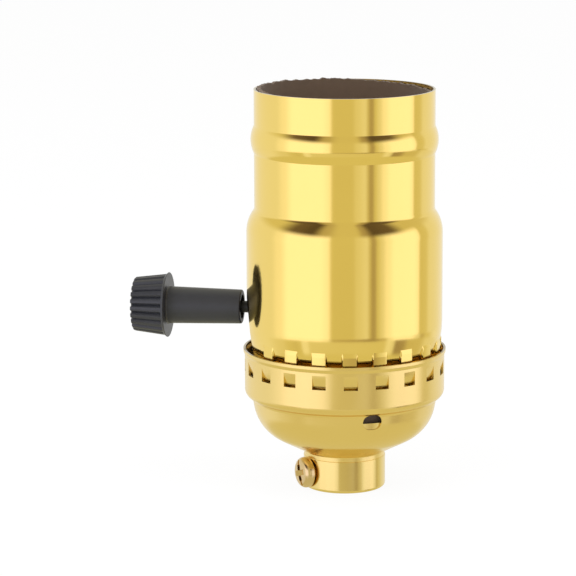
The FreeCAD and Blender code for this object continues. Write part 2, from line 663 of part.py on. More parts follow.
def make_shell_rivets():
    """Two rivets that hold the screw shell, the fibre disc and the cover to the body."""
    top = FIBRE_TOP + SCREW_SHELL_WALL
    rivets = []
    for x in (-SHELL_RIVET_X, SHELL_RIVET_X):
        shank = rod(RIVET_SHANK_R, (x, 0, TOWER_TOP - SHELL_RIVET_DEPTH), (x, 0, top))
        rivets.append(shank.fuse(rod(RIVET_HEAD_R, (x, 0, top), (x, 0, top + RIVET_HEAD_HEIGHT))))
    return Part.makeCompound(rivets)


def make_terminal(side_angle, top):
    """Terminal plate with a wire guard at its foot and a leg that reaches up to a given height."""
    plate = box((-TERMINAL_HALF_WIDTH, TERMINAL_FLAT, TERMINAL_BOTTOM),
                (TERMINAL_HALF_WIDTH, TERMINAL_FACE, TOWER_TOP))
    guard = box((-TERMINAL_HALF_WIDTH, TERMINAL_FLAT, TERMINAL_BOTTOM),
                (TERMINAL_HALF_WIDTH, TERMINAL_FACE + TERMINAL_GUARD, TERMINAL_BOTTOM + TERMINAL_PLATE))
    leg = box((-TERMINAL_LEG_HALF, TERMINAL_FLAT, TERMINAL_BOTTOM),
              (TERMINAL_LEG_HALF, TERMINAL_FACE, top))
    hole = rod(TERMINAL_SCREW_R + THREAD_GAP, (0, 0, TERMINAL_SCREW_Z), (0, FAR, TERMINAL_SCREW_Z))
    return turned_to(plate.fuse([guard, leg]).cut(hole).removeSplitter(), side_angle)


def make_fixed_contact():
    """Bronze bar from the hot terminal into the cavity, with a contact button near its tip."""
    low_x = FIXED_CONTACT_X
    high_x = low_x + FIXED_CONTACT_WIDTH
    top = FIXED_CONTACT_Z + LEAF
    bar = box((low_x, FIXED_CONTACT_TIP_Y, FIXED_CONTACT_Z), (high_x, TERMINAL_FLAT, top))
    button_x = (low_x + high_x) / 2
    button_y = FIXED_CONTACT_TIP_Y + BUTTON_R
    return bar.fuse(rod(BUTTON_R, (button_x, button_y, top), (button_x, button_y, top + BUTTON_HEIGHT)))


def make_spring_contact():
    """Bronze leaf under the cover: it dips to the cam and ends above the fixed contact."""
    root_z = TOWER_TOP - LEAF
    dip_z = SPINDLE_Z + CAM_R + LEAF_GAP
    tip_z = FIXED_CONTACT_Z + LEAF + BUTTON_HEIGHT + CONTACT_GAP
    leaf = strip(outline(
        (FIXED_CONTACT_X + FIXED_CONTACT_WIDTH, tip_z),
        (FIXED_CONTACT_X, tip_z),
        (CAM_HALF_LENGTH / 2, dip_z),
        (0, dip_z),
        (RIVET_X + 2 * RIVET_HEAD_R, root_z),
        (LEAF - CAVITY_HALF_X, root_z),
    ), LEAF, LEAF_WIDTH)
    return leaf.cut(rivet_holes(root_z, TOWER_TOP)[0])


def make_click_spring():
    """Bowed steel leaf on the cavity's floor, under the cam."""
    end_x = CAVITY_HALF_X - LEAF_GAP
    crown_z = SPINDLE_Z - CAM_R - LEAF_GAP - CLICK_LEAF
    foot_x = end_x * CLICK_FOOT_SHARE
    crown_x = CAM_HALF_LENGTH / 2
    return strip(outline(
        (end_x, CAVITY_FLOOR), (foot_x, CAVITY_FLOOR), (crown_x, crown_z),
        (-crown_x, crown_z), (-foot_x, CAVITY_FLOOR), (-end_x, CAVITY_FLOOR),
    ), CLICK_LEAF, LEAF_WIDTH)


def make_spindle_bearing():
    """Flanged brass bearing pressed into the switch body."""
    outer_x = -TOWER_R
    bearing = rod(BEARING_R, (outer_x, 0, SPINDLE_Z), (BEARING_INNER_X, 0, SPINDLE_Z))
    flange = rod(BEARING_FLANGE_R, (outer_x, 0, SPINDLE_Z), (outer_x + BEARING_FLANGE, 0, SPINDLE_Z))
    bore = rod(SPINDLE_R + SPINDLE_GAP, (-FAR, 0, SPINDLE_Z), (0, 0, SPINDLE_Z))
    return bearing.fuse(flange).cut(bore)


def make_spindle():
    """Straight spindle from inside the knob to its far bearing."""
    return rod(SPINDLE_R, (KNOB_INNER_X - SPINDLE_IN_KNOB, 0, SPINDLE_Z), (SPINDLE_END_X, 0, SPINDLE_Z))


def make_spindle_clip():
    """Spring clip that keeps the spindle in its bearing."""
    near_x = BEARING_INNER_X + CLIP_GAP
    clip = rod(CLIP_R, (near_x, 0, SPINDLE_Z), (near_x + CLIP_THICKNESS, 0, SPINDLE_Z))
    return clip.cut([
        rod(SPINDLE_R, (-FAR, 0, SPINDLE_Z), (0, 0, SPINDLE_Z)),
        box((-FAR, -CLIP_MOUTH / 2, SPINDLE_Z - FAR), (0, CLIP_MOUTH / 2, SPINDLE_Z)),
    ])


def make_switch_cam():
    """Moulded cam on the spindle: round, with four flats for the quarter-turn clicks."""
    cam = rod(CAM_R, (-CAM_HALF_LENGTH, 0, SPINDLE_Z), (CAM_HALF_LENGTH, 0, SPINDLE_Z))
    square = box((-CAM_HALF_LENGTH, -CAM_FLAT, SPINDLE_Z - CAM_FLAT),
                 (CAM_HALF_LENGTH, CAM_FLAT, SPINDLE_Z + CAM_FLAT))
    return cam.common(square).cut(rod(SPINDLE_R, (-FAR, 0, SPINDLE_Z), (FAR, 0, SPINDLE_Z)))


def make_knob():
    """Moulded knob: a tapered stem and a fluted head that widens to a thin lip behind."""
    length = STEM_LENGTH + HEAD_LENGTH
    lip_top = STEM_LENGTH + HEAD_LIP
    outer_r = HEAD_INNER_R - HEAD_TAPER
    dish_r = outer_r - HEAD_RIM
    recess_r = STEM_INNER_R - STEM_RECESS_WALL
    knob = turned([
        (0, STEM_RECESS_DEPTH, 0),
        (recess_r, STEM_RECESS_DEPTH, 0),
        (recess_r, 0, 0),
        (STEM_INNER_R - STEM_CHAMFER, 0, 0),
        (STEM_INNER_R, STEM_CHAMFER, 0),
        (STEM_INNER_R + STEM_TAPER, STEM_LENGTH, 0),
        (HEAD_INNER_R + HEAD_LIP_RISE, STEM_LENGTH, 0),
        (HEAD_INNER_R, lip_top, 0),
        (outer_r, length, HEAD_EDGE_R),
        (dish_r, length, 0),
        (dish_r - HEAD_DISH, length - HEAD_DISH, 0),
        (0, length - HEAD_DISH, 0),
    ])
    flute = rod(
        FLUTE_CUTTER_R,
        (HEAD_INNER_R + FLUTE_CUTTER_R - FLUTE_DEPTH, 0, lip_top),
        (outer_r + FLUTE_CUTTER_R - FLUTE_DEPTH, 0, length + HEAD_LIP),
    )
    knob = knob.cut(ring_of(flute, FLUTE_COUNT, 0))
    knob = knob.cut(rod(SPINDLE_R, (0, 0, 0), (0, 0, SPINDLE_IN_KNOB)))
    knob.rotate(Vector(0, 0, 0), Vector(0, 1, 0), -90)
    knob.translate(Vector(KNOB_INNER_X, 0, SPINDLE_Z))
    return knob


NODES = {
    "shell": make_shell(),
    "shell_sleeve": make_shell_sleeve(),
    "cap": make_cap(),
    "cap_lining": make_cap_lining(),
    "bush": make_bush(),
    "set_screw": make_set_screw(),
    "switch_body": make_switch_body(),
    "switch_cover": make_switch_cover(),
    "fibre_disc": make_fibre_disc(),
    "screw_shell": make_screw_shell(),
    "centre_contact": make_centre_contact(),
    "centre_rivet": make_centre_rivet(),
    "shell_rivets": make_shell_rivets(),
    "hot_terminal": make_terminal(0, TOWER_TOP),
    "neutral_terminal": make_terminal(180, FIBRE_TOP),
    "hot_terminal_screw": make_terminal_screw(90),
    "neutral_terminal_screw": make_terminal_screw(270),
    "fixed_contact": make_fixed_contact(),
    "spring_contact": make_spring_contact(),
    "click_spring": make_click_spring(),
    "spindle_bearing": make_spindle_bearing(),
    "spindle": make_spindle(),
    "spindle_clip": make_spindle_clip(),
    "switch_cam": make_switch_cam(),
    "knob": make_knob(),
}

os.makedirs("parts", exist_ok=True)
for name, shape in NODES.items():
    shape.exportStep("parts/" + name + ".step")
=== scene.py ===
import math
import bpy
import numpy as np
from mathutils import Matrix, Quaternion, Vector


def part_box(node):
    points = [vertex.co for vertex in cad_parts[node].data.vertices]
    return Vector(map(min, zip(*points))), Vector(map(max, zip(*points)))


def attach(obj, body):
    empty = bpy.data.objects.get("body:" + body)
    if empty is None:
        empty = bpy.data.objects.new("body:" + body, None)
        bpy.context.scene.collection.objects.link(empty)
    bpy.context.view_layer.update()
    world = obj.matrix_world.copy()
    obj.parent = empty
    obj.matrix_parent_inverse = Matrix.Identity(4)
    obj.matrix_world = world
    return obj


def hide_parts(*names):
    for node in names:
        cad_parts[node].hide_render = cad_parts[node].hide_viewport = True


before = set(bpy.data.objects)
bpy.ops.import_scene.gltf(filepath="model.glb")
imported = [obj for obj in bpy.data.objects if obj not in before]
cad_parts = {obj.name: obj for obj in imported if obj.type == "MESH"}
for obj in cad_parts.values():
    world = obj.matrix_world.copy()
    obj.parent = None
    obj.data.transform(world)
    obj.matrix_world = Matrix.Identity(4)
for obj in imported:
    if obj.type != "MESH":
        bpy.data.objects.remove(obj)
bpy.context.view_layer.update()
scene = bpy.context.scene

# SHELL: aluminium drawn to a tube with a bead, a shoulder and a drawn-in waist, then polished and
# gold anodised. An arched slot is pierced for the spindle, and its skirt snaps into the cap.
# Sizes are in millimetres. A section lists its corners as radius, height and radius of the bend.
MM = 0.001
SHELL_WALL = 0.4
SHELL_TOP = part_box("shell")[1].z / MM
SHELL_BOTTOM = 20.3
COLLAR_R = 16.79
BEAD_MIDDLE = 65.9
BEAD_HALF_HEIGHT = 2.6
BEAD_PEAK = 1.15
BEAD_BEND = 5.6
SHOULDER_TOP = 52.85
SHOULDER_HOLLOW_BEND = 1.53
SHOULDER_CORNER = 50.7
SHOULDER_BEND = 6.6
BODY_R = 18.29
WAIST_CORNER = 29.5
WAIST_BEND = 19.95
SKIRT_R = 17.59
SKIRT_TOP = 26.8
SKIRT_BEND = 0.6
CATCH_R = SKIRT_R + 0.45
CATCH_TOP = 21.6
CATCH_SLOPE = 0.7
CRISP = 0.25
SHELL_SECTION = [
    (COLLAR_R, SHELL_TOP, 0),
    (COLLAR_R, BEAD_MIDDLE + BEAD_HALF_HEIGHT, CRISP),
    (COLLAR_R + BEAD_PEAK, BEAD_MIDDLE, BEAD_BEND),
    (COLLAR_R, BEAD_MIDDLE - BEAD_HALF_HEIGHT, CRISP),
    (COLLAR_R, SHOULDER_TOP, SHOULDER_HOLLOW_BEND),
    (BODY_R, SHOULDER_CORNER, SHOULDER_BEND),
    (BODY_R, WAIST_CORNER, WAIST_BEND),
    (SKIRT_R, SKIRT_TOP, SKIRT_BEND),
    (SKIRT_R, CATCH_TOP + CATCH_SLOPE, 0),
    (CATCH_R, CATCH_TOP, CRISP),
    (CATCH_R, SHELL_BOTTOM, 0),
]
ARC_STEP = math.radians(5)
COLUMN_STEP = math.radians(2.5)
ROW_GAP = 0.02


def unit(vector):
    return vector / np.hypot(*vector)


def section_points(corners, wall, levels):
    """Down one side of a sheet: its outer points, inner points, and the normals above and below each."""
    corners = [np.array(corner, float) for corner in corners]
    ways = [unit(b[:2] - a[:2]) for a, b in zip(corners[:-1], corners[1:])]
    normals = [np.array((-way[1], way[0])) for way in ways]
    rows = [(corners[0][:2], corners[0][:2] - wall * normals[0], normals[0], normals[0])]
    for index in range(1, len(corners) - 1):
        corner, rounding = corners[index][:2], corners[index][2]
        way, following = ways[index - 1], ways[index]
        before, after = normals[index - 1], normals[index]
        turn = math.atan2(way[0] * following[1] - way[1] * following[0], way @ following)
        if rounding == 0:
            inner = corner - wall * (before + after) / (1 + before @ after)
            rows.append((corner, inner, before, after))
            continue
        bulge = -math.copysign(1, turn)
        start = corner - way * rounding * math.tan(abs(turn) / 2)
        centre = start - bulge * rounding * before
        count = max(2, math.ceil(abs(turn) / ARC_STEP))
        for step in range(count + 1):
            angle = turn * step / count
            c, s = math.cos(angle), math.sin(angle)
            normal = np.array((c * before[0] - s * before[1], s * before[0] + c * before[1]))
            point = centre + bulge * rounding * normal
            rows.append((point, point - wall * normal, normal, normal))
    rows.append((corners[-1][:2], corners[-1][:2] - wall * normals[-1], normals[-1], normals[-1]))
    for level in levels:
        for index in range(len(rows) - 1):
            upper, lower = rows[index], rows[index + 1]
            if upper[0][1] - ROW_GAP > level > lower[0][1] + ROW_GAP:
                share = (upper[0][1] - level) / (upper[0][1] - lower[0][1])
                between = [a + (b - a) * share for a, b in ((upper[0], lower[0]), (upper[1], lower[1]))]
                normal = unit(upper[3] + (lower[2] - upper[3]) * share)
                rows.insert(index + 1, (*between, normal, normal))
                break
    return rows


def round_about(angle, radius, height):
    return radius * math.cos(angle), radius * math.sin(angle), height


def plain_mesh(name, points, faces, loop_normals=None, material=None):
    """Object from points in millimetres, faces, and, for a curved polished piece, its true normals."""
    mesh = bpy.data.meshes.new(name)
    mesh.from_pydata([[c * MM for c in point] for point in points], [], faces)
    mesh.shade_smooth()
    if loop_normals is not None:
        mesh.normals_split_custom_set(loop_normals)
    if material:
        mesh.materials.append(material)
    piece = bpy.data.objects.new(name, mesh)
    scene.collection.objects.link(piece)
    return piece


def flat_normal(points, face):
    a, b, c, d = (Vector(points[i]) for i in (face[0], face[1], face[2], face[-1]))
    normal = (c - a).cross(d - b) if len(face) > 3 else (b - a).cross(c - a)
    return normal.normalized()


def sheet_piece(name, rows, column_angles, left_out, material, opening=None, patch=None):
    """Sheet-metal piece turned from section rows, with faces left out, cut edges and true normals.

    opening(height, radius) is half the angle of a slot whose sides lie at the ends of the columns.
    """
    points, inner, normals, index = [], [], [], {}
    for i, (outer, inside, above, below) in enumerate(rows):
        half = opening(outer[1], outer[0]) if opening else 0.0
        for j, angle in enumerate(column_angles):
            if opening:
                angle = slot_angle(angle, half)
            if j == len(column_angles) - 1 and half == 0.0:
                index[i, j] = index[i, 0]
                continue
            index[i, j] = len(points)
            points.append(round_about(angle, *outer))
            inner.append(round_about(angle, *inside))
            normals.append([round_about(angle, *above), round_about(angle, *below)])
    faces, face_normals = [], []
    for i in range(len(rows) - 1):
        for j in range(len(column_angles) - 1):
            middle = (column_angles[j] + column_angles[j + 1]) / 2
            if left_out(middle, rows[i][0][1], rows[i + 1][0][1]):
                continue
            corners = [(index[i, j], 1), (index[i + 1, j], 0), (index[i + 1, j + 1], 0), (index[i, j + 1], 1)]
            corners = list(dict.fromkeys(corners))
            faces.append([corner for corner, _ in corners])
            face_normals.append([normals[corner][side] for corner, side in corners])
    if patch:
        patch(rows, index, points, inner, normals, faces, face_normals)
    return close_sheet(name, points, inner, faces, face_normals, material)


def close_sheet(name, points, inner, faces, face_normals, material):
    """Adds the inner side and the cut edges to a sheet's outer side."""
    edges = {}
    for face in faces:
        for a, b in zip(face, face[1:] + face[:1]):
            edges[a, b] = 1
    count = len(points)
    points = points + inner
    all_faces = list(faces)
    loop_normals = [normal for face in face_normals for normal in face]
    for face, its_normals in zip(faces, face_normals):
        all_faces.append([corner + count for corner in face[::-1]])
        loop_normals += [tuple(-c for c in normal) for normal in its_normals[::-1]]
    for a, b in edges:
        if (b, a) not in edges:
            rim = [b, a, a + count, b + count]
            all_faces.append(rim)
            loop_normals += [flat_normal(points, rim)] * 4
    return plain_mesh(name, points, all_faces, loop_normals, material)


def feed(node, inputs):
    """Gives a node's inputs their values, each a plain one or another node's output."""
    for key, value in inputs.items():
        if isinstance(value, bpy.types.NodeSocket):
            node.id_data.links.new(value, node.inputs[key])
        else:
            node.inputs[key].default_value = value
    return node


def add_node(tree, kind, inputs=None, **settings):
    node = tree.nodes.new(kind)
    for key, value in settings.items():
        setattr(node, key, value)
    return feed(node, inputs or {})


def calc(operation, *terms):
    """Output of one Math node, in the tree that its terms come from."""
    tree = next(term.id_data for term in terms if isinstance(term, bpy.types.NodeSocket))
    return add_node(tree, "ShaderNodeMath", dict(enumerate(terms)), operation=operation).outputs[0]


def times(a, b):
    return calc("MULTIPLY", a, b)


def less(a, b):
    return calc("SUBTRACT", a, b)


def mixed(tree, share, base, layer):
    return add_node(tree, "ShaderNodeMix", {0: share, 6: base, 7: layer}, data_type="RGBA").outputs[2]


def own_place(tree):
    """Place of each point of a piece in its own frame."""
    return tree.nodes.new("ShaderNodeTexCoord").outputs["Object"]


def handling_group():
    """Shader group: the faint clouding and unevenness that handled, polished or moulded faces show."""
    group = bpy.data.node_groups.new("handling", "ShaderNodeTree")
    face = group.interface
    for label, value in (("Scale", 60.0), ("Roughness", 0.2), ("Clouding", 0.1)):
        socket = face.new_socket(label, in_out="INPUT", socket_type="NodeSocketFloat")
        socket.default_value = value
    for label in ("Roughness", "Mask", "Height"):
        face.new_socket(label, in_out="OUTPUT", socket_type="NodeSocketFloat")
    entry = group.nodes.new("NodeGroupInput")
    place = own_place(group)
    cloud = add_node(group, "ShaderNodeTexNoise", {
        "Vector": place, "Scale": entry.outputs["Scale"], "Detail": 4.0, "Roughness": 0.6})
    fine = times(entry.outputs["Scale"], GRAIN_FINENESS)
    grain = add_node(group, "ShaderNodeTexNoise", {
        "Vector": place, "Scale": fine, "Detail": 3.0, "Roughness": 0.5})
    centred = less(cloud.outputs["Fac"], 0.5)
    clouded = calc("MULTIPLY_ADD", centred, entry.outputs["Clouding"], entry.outputs["Roughness"])
    add_node(group, "NodeGroupOutput", {
        "Roughness": clouded, "Mask": cloud.outputs["Fac"], "Height": grain.outputs["Fac"]})
    return group


GRAIN_FINENESS = 9.0
HANDLING = handling_group()


def finish_material(name, colour, shade, metallic, roughness, clouding, scale, bump, distance=0.02,
                    stretch=None, sheen=0.0):
    """Principled material with its colour clouded towards a second shade, from the handling group."""
    material = bpy.data.materials.new(name)
    material.use_nodes = True
    tree = material.node_tree
    shader = tree.nodes["Principled BSDF"]
    marks = add_node(tree, "ShaderNodeGroup", {
        "Scale": scale, "Roughness": roughness, "Clouding": clouding}, node_tree=HANDLING).outputs
    height = marks["Height"]
    if stretch:
        place = add_node(tree, "ShaderNodeMapping", {"Vector": own_place(tree), "Scale": stretch})
        height = add_node(tree, "ShaderNodeTexNoise", {
            "Vector": place.outputs["Vector"], "Scale": scale, "Detail": 3.0}).outputs["Fac"]
    relief = add_node(tree, "ShaderNodeBump", {
        "Height": height, "Strength": bump, "Distance": distance * MM})
    feed(shader, {
        "Base Color": mixed(tree, marks["Mask"], (*shade, 1), (*colour, 1)),
        "Roughness": marks["Roughness"], "Normal": relief.outputs["Normal"],
        "Metallic": metallic, "Sheen Weight": sheen})
    return material


def as_sheared(material, dulling):
    """Bare metal on the upper cut edge of an anodised sheet, and a duller side towards the axis."""
    tree = material.node_tree
    shader = tree.nodes["Principled BSDF"]
    place = tree.nodes.new("ShaderNodeTexCoord").outputs
    rise = add_node(tree, "ShaderNodeSeparateXYZ", {0: place["Normal"]}).outputs[2]
    cut = calc("GREATER_THAN", rise, FACING_UP)
    gilt = shader.inputs["Base Color"].links[0].from_socket
    level = add_node(tree, "ShaderNodeVectorMath", {0: place["Object"], 1: (1, 1, 0)}, operation="MULTIPLY")
    facing = add_node(tree, "ShaderNodeVectorMath", {
        0: level.outputs[0], 1: place["Normal"]}, operation="DOT_PRODUCT")
    inside = calc("LESS_THAN", facing.outputs["Value"], 0.0)
    polish = shader.inputs["Roughness"].links[0].from_socket
    feed(shader, {
        "Base Color": mixed(tree, cut, gilt, (*BARE_METAL, 1)),
        "Roughness": calc("MULTIPLY_ADD", inside, dulling, polish)})


FACING_UP = 0.97
BARE_METAL = (0.46, 0.39, 0.27)
GILT = finish_material("gilt_polished", (0.93, 0.70, 0.205), (0.90, 0.67, 0.19), 1.0, 0.095, 0.04, 90.0, 0.05)
as_sheared(GILT, 0.1)

SPINDLE_Z = (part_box("spindle")[0].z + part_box("spindle")[1].z) / 2 / MM
SLOT_HALF = 7.2
ARCH_Z = SPINDLE_Z - 3.8
SLOT_ZONE = math.radians(27)
SLACK = 1e-4


def slot_half(above, half_width, radius):
    """Half the angle that an arched slot opens at a height above its arch's centre."""
    if above >= half_width - SLACK:
        return 0.0
    half = half_width if above < 0 else math.sqrt(half_width ** 2 - above ** 2)
    return math.asin(half / radius)


def shell_slot(height, radius):
    return slot_half(height - ARCH_Z, SLOT_HALF, radius)


def slot_angle(angle, half):
    """Crowds the columns beside the slot so that the outer ones run along its edge."""
    away = angle - math.pi if angle <= math.pi * 2 else angle - math.pi * 3
    if abs(away) > SLOT_ZONE:
        return angle
    side = 1 if away > 0 or (away == 0 and angle < math.pi * 2) else -1
    return angle - away + side * (half + (SLOT_ZONE - half) * abs(away) / SLOT_ZONE)


PAD_COUNT = 20
PAD_PHASE = math.radians(10.8)
PAD_HALF = 1.4
PAD_TOP = 29.0
PAD_BOTTOM = 26.15
PAD_FACE_R = 17.8
PAD_ANGLE = PAD_HALF / PAD_FACE_R
PADLESS = math.asin((SLOT_HALF + 2 * PAD_HALF) / SKIRT_R)
PAD_CENTRES = [PAD_PHASE + 2 * math.pi * i / PAD_COUNT for i in range(PAD_COUNT)]
PAD_CENTRES = [angle for angle in PAD_CENTRES if abs(angle - math.pi) > PADLESS]
BODY_ROWS = [45.0, 41.0]
LEVEL_SLACK = 0.03


def columns(start, edges):
    """Column angles round the axis from a start, with a column at each edge angle."""
    whole = 2 * math.pi
    count = round(whole / COLUMN_STEP)
    edges = sorted((edge - start) % whole for edge in edges)
    even = [whole * i / count for i in range(count + 1)]
    kept = [angle for angle in even if all(abs(angle - edge) > COLUMN_STEP / 4 for edge in edges)]
    return [start + angle for angle in sorted(kept + edges)]


def nearest(values, wanted):
    """Index of the value that lies nearest to a wanted one."""
    return min(range(len(values)), key=lambda k: abs(values[k] - wanted))


def near(angle, centre, half):
    return abs((angle - centre + math.pi) % (2 * math.pi) - math.pi) < half


def over_pad(angle, top, bottom):
    inside = top <= PAD_TOP + LEVEL_SLACK and bottom >= PAD_BOTTOM - LEVEL_SLACK
    return inside and any(near(angle, centre, PAD_ANGLE) for centre in PAD_CENTRES)


arch_rows = [ARCH_Z + SLOT_HALF * math.sin(math.radians(6 * k)) for k in range(16)]
shell_rows = section_points(SHELL_SECTION, SHELL_WALL, arch_rows + [PAD_TOP, PAD_BOTTOM] + BODY_ROWS)
pad_edges = [centre + side * PAD_ANGLE for centre in PAD_CENTRES for side in (-1, 1)]
shell_columns = columns(math.pi, pad_edges)
shell = sheet_piece("shell_sheet", shell_rows, shell_columns, over_pad, GILT, opening=shell_slot)
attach(shell, "holder")
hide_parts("shell")

# SHELL PADS: a ring of stop pads pressed out of the shell's waist and sheared open at their lower
# edges. The cap's lip just covers their lower ends. None is made where the spindle's slot is.
PAD_RISE = 0.5
PAD_SHEET = 0.3
PAD_SPREAD = 0.26
PAD_LAP = 0.06
PAD_HEAD_RISE = 0.1
WAIST_TURN = math.atan2(BODY_R - SKIRT_R, WAIST_CORNER - SKIRT_TOP)
WAIST_CENTRE = WAIST_CORNER + WAIST_BEND * math.tan(WAIST_TURN / 2)
WAIST_AT_PAD = BODY_R - WAIST_BEND + math.sqrt(WAIST_BEND ** 2 - (WAIST_CENTRE - PAD_TOP) ** 2)


def start_tree(name, sizes):
    """Geometry Nodes tree with an input for the start mesh, the material and each named size."""
    tree = bpy.data.node_groups.new(name, "GeometryNodeTree")
    face = tree.interface
    face.new_socket("Geometry", in_out="OUTPUT", socket_type="NodeSocketGeometry")
    face.new_socket("Geometry", in_out="INPUT", socket_type="NodeSocketGeometry")
    face.new_socket("Material", in_out="INPUT", socket_type="NodeSocketMaterial")
    for label, value in sizes.items():
        kind = "NodeSocketInt" if isinstance(value, int) else "NodeSocketFloat"
        face.new_socket(label, in_out="INPUT", socket_type=kind).default_value = value
    return tree, tree.nodes.new("NodeGroupInput").outputs


def end_tree(tree, entry, geometry):
    """Realizes what a tree has made, gives it its material and puts it out."""
    real = add_node(tree, "GeometryNodeRealizeInstances", {"Geometry": geometry})
    painted = add_node(tree, "GeometryNodeSetMaterial", {
        "Geometry": real.outputs[0], "Material": entry["Material"]})
    add_node(tree, "NodeGroupOutput", {0: painted.outputs[0]})


def box_of(tree, x, y, z, across, up):
    """Block of a sheet's thickness, a width and a height, with its faces divided across and up."""
    size = add_node(tree, "ShaderNodeCombineXYZ", {"X": x, "Y": y, "Z": z})
    return add_node(tree, "GeometryNodeMeshCube", {
        "Size": size.outputs[0], "Vertices X": 2, "Vertices Y": across, "Vertices Z": up}).outputs["Mesh"]


def point_place(tree):
    """X, Y and Z of each point that a tree works on."""
    place = tree.nodes.new("GeometryNodeInputPosition").outputs[0]
    return add_node(tree, "ShaderNodeSeparateXYZ", {0: place}).outputs


def put_at(tree, geometry, x, y, z):
    """Geometry with each of its points put at a place worked out for it."""
    place = add_node(tree, "ShaderNodeCombineXYZ", {"X": x, "Y": y, "Z": z})
    return add_node(tree, "GeometryNodeSetPosition", {
        "Geometry": geometry, "Position": place.outputs[0]}).outputs[0]


def bent_about(tree, geometry, radius, angle, z):
    """Geometry rolled round the axis, each point at its radius and angle."""
    x, y = times(radius, calc("COSINE", angle)), times(radius, calc("SINE", angle))
    return put_at(tree, geometry, x, y, z)


def eased(tree, value, start, end):
    """Smooth rise from 0 to 1 as a value goes from its start to its end."""
    return add_node(tree, "ShaderNodeMapRange", {
        "Value": value, "From Min": start, "From Max": end, "To Min": 0.0, "To Max": 1.0},
        interpolation_type="SMOOTHSTEP").outputs[0]


def grown(name, tree, sizes, material, start=None, crisp=None):
    """Plain mesh object made by a Geometry Nodes tree at the given sizes."""
    if start is None:
        start = plain_mesh(name + "_start", [(0, 0, 0)], [])
    modifier = start.modifiers.new("made", "NODES")
    modifier.node_group = tree
    for item in tree.interface.items_tree:
        if item.in_out == "INPUT" and item.name in sizes:
            modifier[item.identifier] = sizes[item.name]
        elif item.in_out == "INPUT" and item.name == "Material":
            modifier[item.identifier] = material
    graph = bpy.context.evaluated_depsgraph_get()
    mesh = bpy.data.meshes.new_from_object(start.evaluated_get(graph), depsgraph=graph)
    bpy.data.objects.remove(start)
    mesh.name = name
    mesh.shade_smooth()
    if crisp:
        mesh.set_sharp_from_angle(angle=math.radians(crisp))
    piece = bpy.data.objects.new(name, mesh)
    scene.collection.objects.link(piece)
    return piece


def ring_about(tree, entry, instance, skip=None):
    """Instances of one placed shape all round the axis, with none nearer to -X than the skip angle."""
    points = add_node(tree, "GeometryNodePoints", {"Count": entry["Count"]})
    number = tree.nodes.new("GeometryNodeInputIndex").outputs[0]
    step = calc("DIVIDE", 2 * math.pi, entry["Count"])
    angle = calc("MULTIPLY_ADD", number, step, entry["Phase"])
    turn = add_node(tree, "ShaderNodeCombineXYZ", {"Z": angle})
    rotation = add_node(tree, "FunctionNodeEulerToRotation", {0: turn.outputs[0]})
    inputs = {"Points": points.outputs[0], "Instance": instance, "Rotation": rotation.outputs[0]}
    if skip:
        away = calc("ABSOLUTE", less(angle, math.pi))
        inputs["Selection"] = calc("GREATER_THAN", away, skip)
    return add_node(tree, "GeometryNodeInstanceOnPoints", inputs).outputs[0]


def pad_tree(sizes):
    """Louvre pads: each stays upright where the waist behind it draws in, with its sides drawn back."""
    tree, entry = start_tree("stop_pads", sizes)
    height = less(entry["Top"], entry["Bottom"])
    block = box_of(tree, entry["Sheet"], entry["Width"], height, 25, 14)
    x, y, z = point_place(tree)
    down = less(0.5, calc("DIVIDE", z, height))
    real_z = less(entry["Top"], times(down, height))
    below = less(entry["Waist Centre"], real_z)
    squares = less(calc("POWER", entry["Waist Radius"], 2.0),
                   times(below, below))
    waist = calc("ADD", less(entry["Body Radius"], entry["Waist Radius"]),
                 calc("SQRT", squares))
    fall = less(entry["Bottom Radius"], entry["Top Radius"])
    flap = calc("MULTIPLY_ADD", fall, down, entry["Top Radius"])
    across = calc("ABSOLUTE", calc("DIVIDE", y, times(entry["Width"], 0.5)))
    sunk = less(waist, entry["Sunk"])
    mask = times(eased(tree, across, 1.0, entry["Flat Width"]), eased(tree, down, 0.0, entry["Top Bend"]))
    face = calc("MULTIPLY_ADD", less(flap, sunk), mask, sunk)
    sheet = less(x, times(entry["Sheet"], 0.5))
    radius = calc("ADD", face, sheet)
    pad = bent_about(tree, block, radius, calc("DIVIDE", y, entry["Bottom Radius"]), real_z)
    end_tree(tree, entry, ring_about(tree, entry, pad, entry["Slot Clearance"]))
    return tree


PAD_SIZES = {
    "Count": PAD_COUNT, "Phase": PAD_PHASE, "Width": (2 * PAD_HALF + PAD_SPREAD) * MM,
    "Top": (PAD_TOP + PAD_LAP) * MM, "Bottom": PAD_BOTTOM * MM, "Sheet": PAD_SHEET * MM,
    "Top Radius": (WAIST_AT_PAD + PAD_HEAD_RISE) * MM, "Bottom Radius": (SKIRT_R + PAD_RISE) * MM,
    "Waist Radius": WAIST_BEND * MM, "Waist Centre": WAIST_CENTRE * MM, "Body Radius": BODY_R * MM,
    "Sunk": 0.05 * MM, "Flat Width": 0.82, "Top Bend": 0.22, "Slot Clearance": PADLESS}
pads = grown("shell_pads", pad_tree(PAD_SIZES), PAD_SIZES, GILT, crisp=50)
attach(pads, "holder")

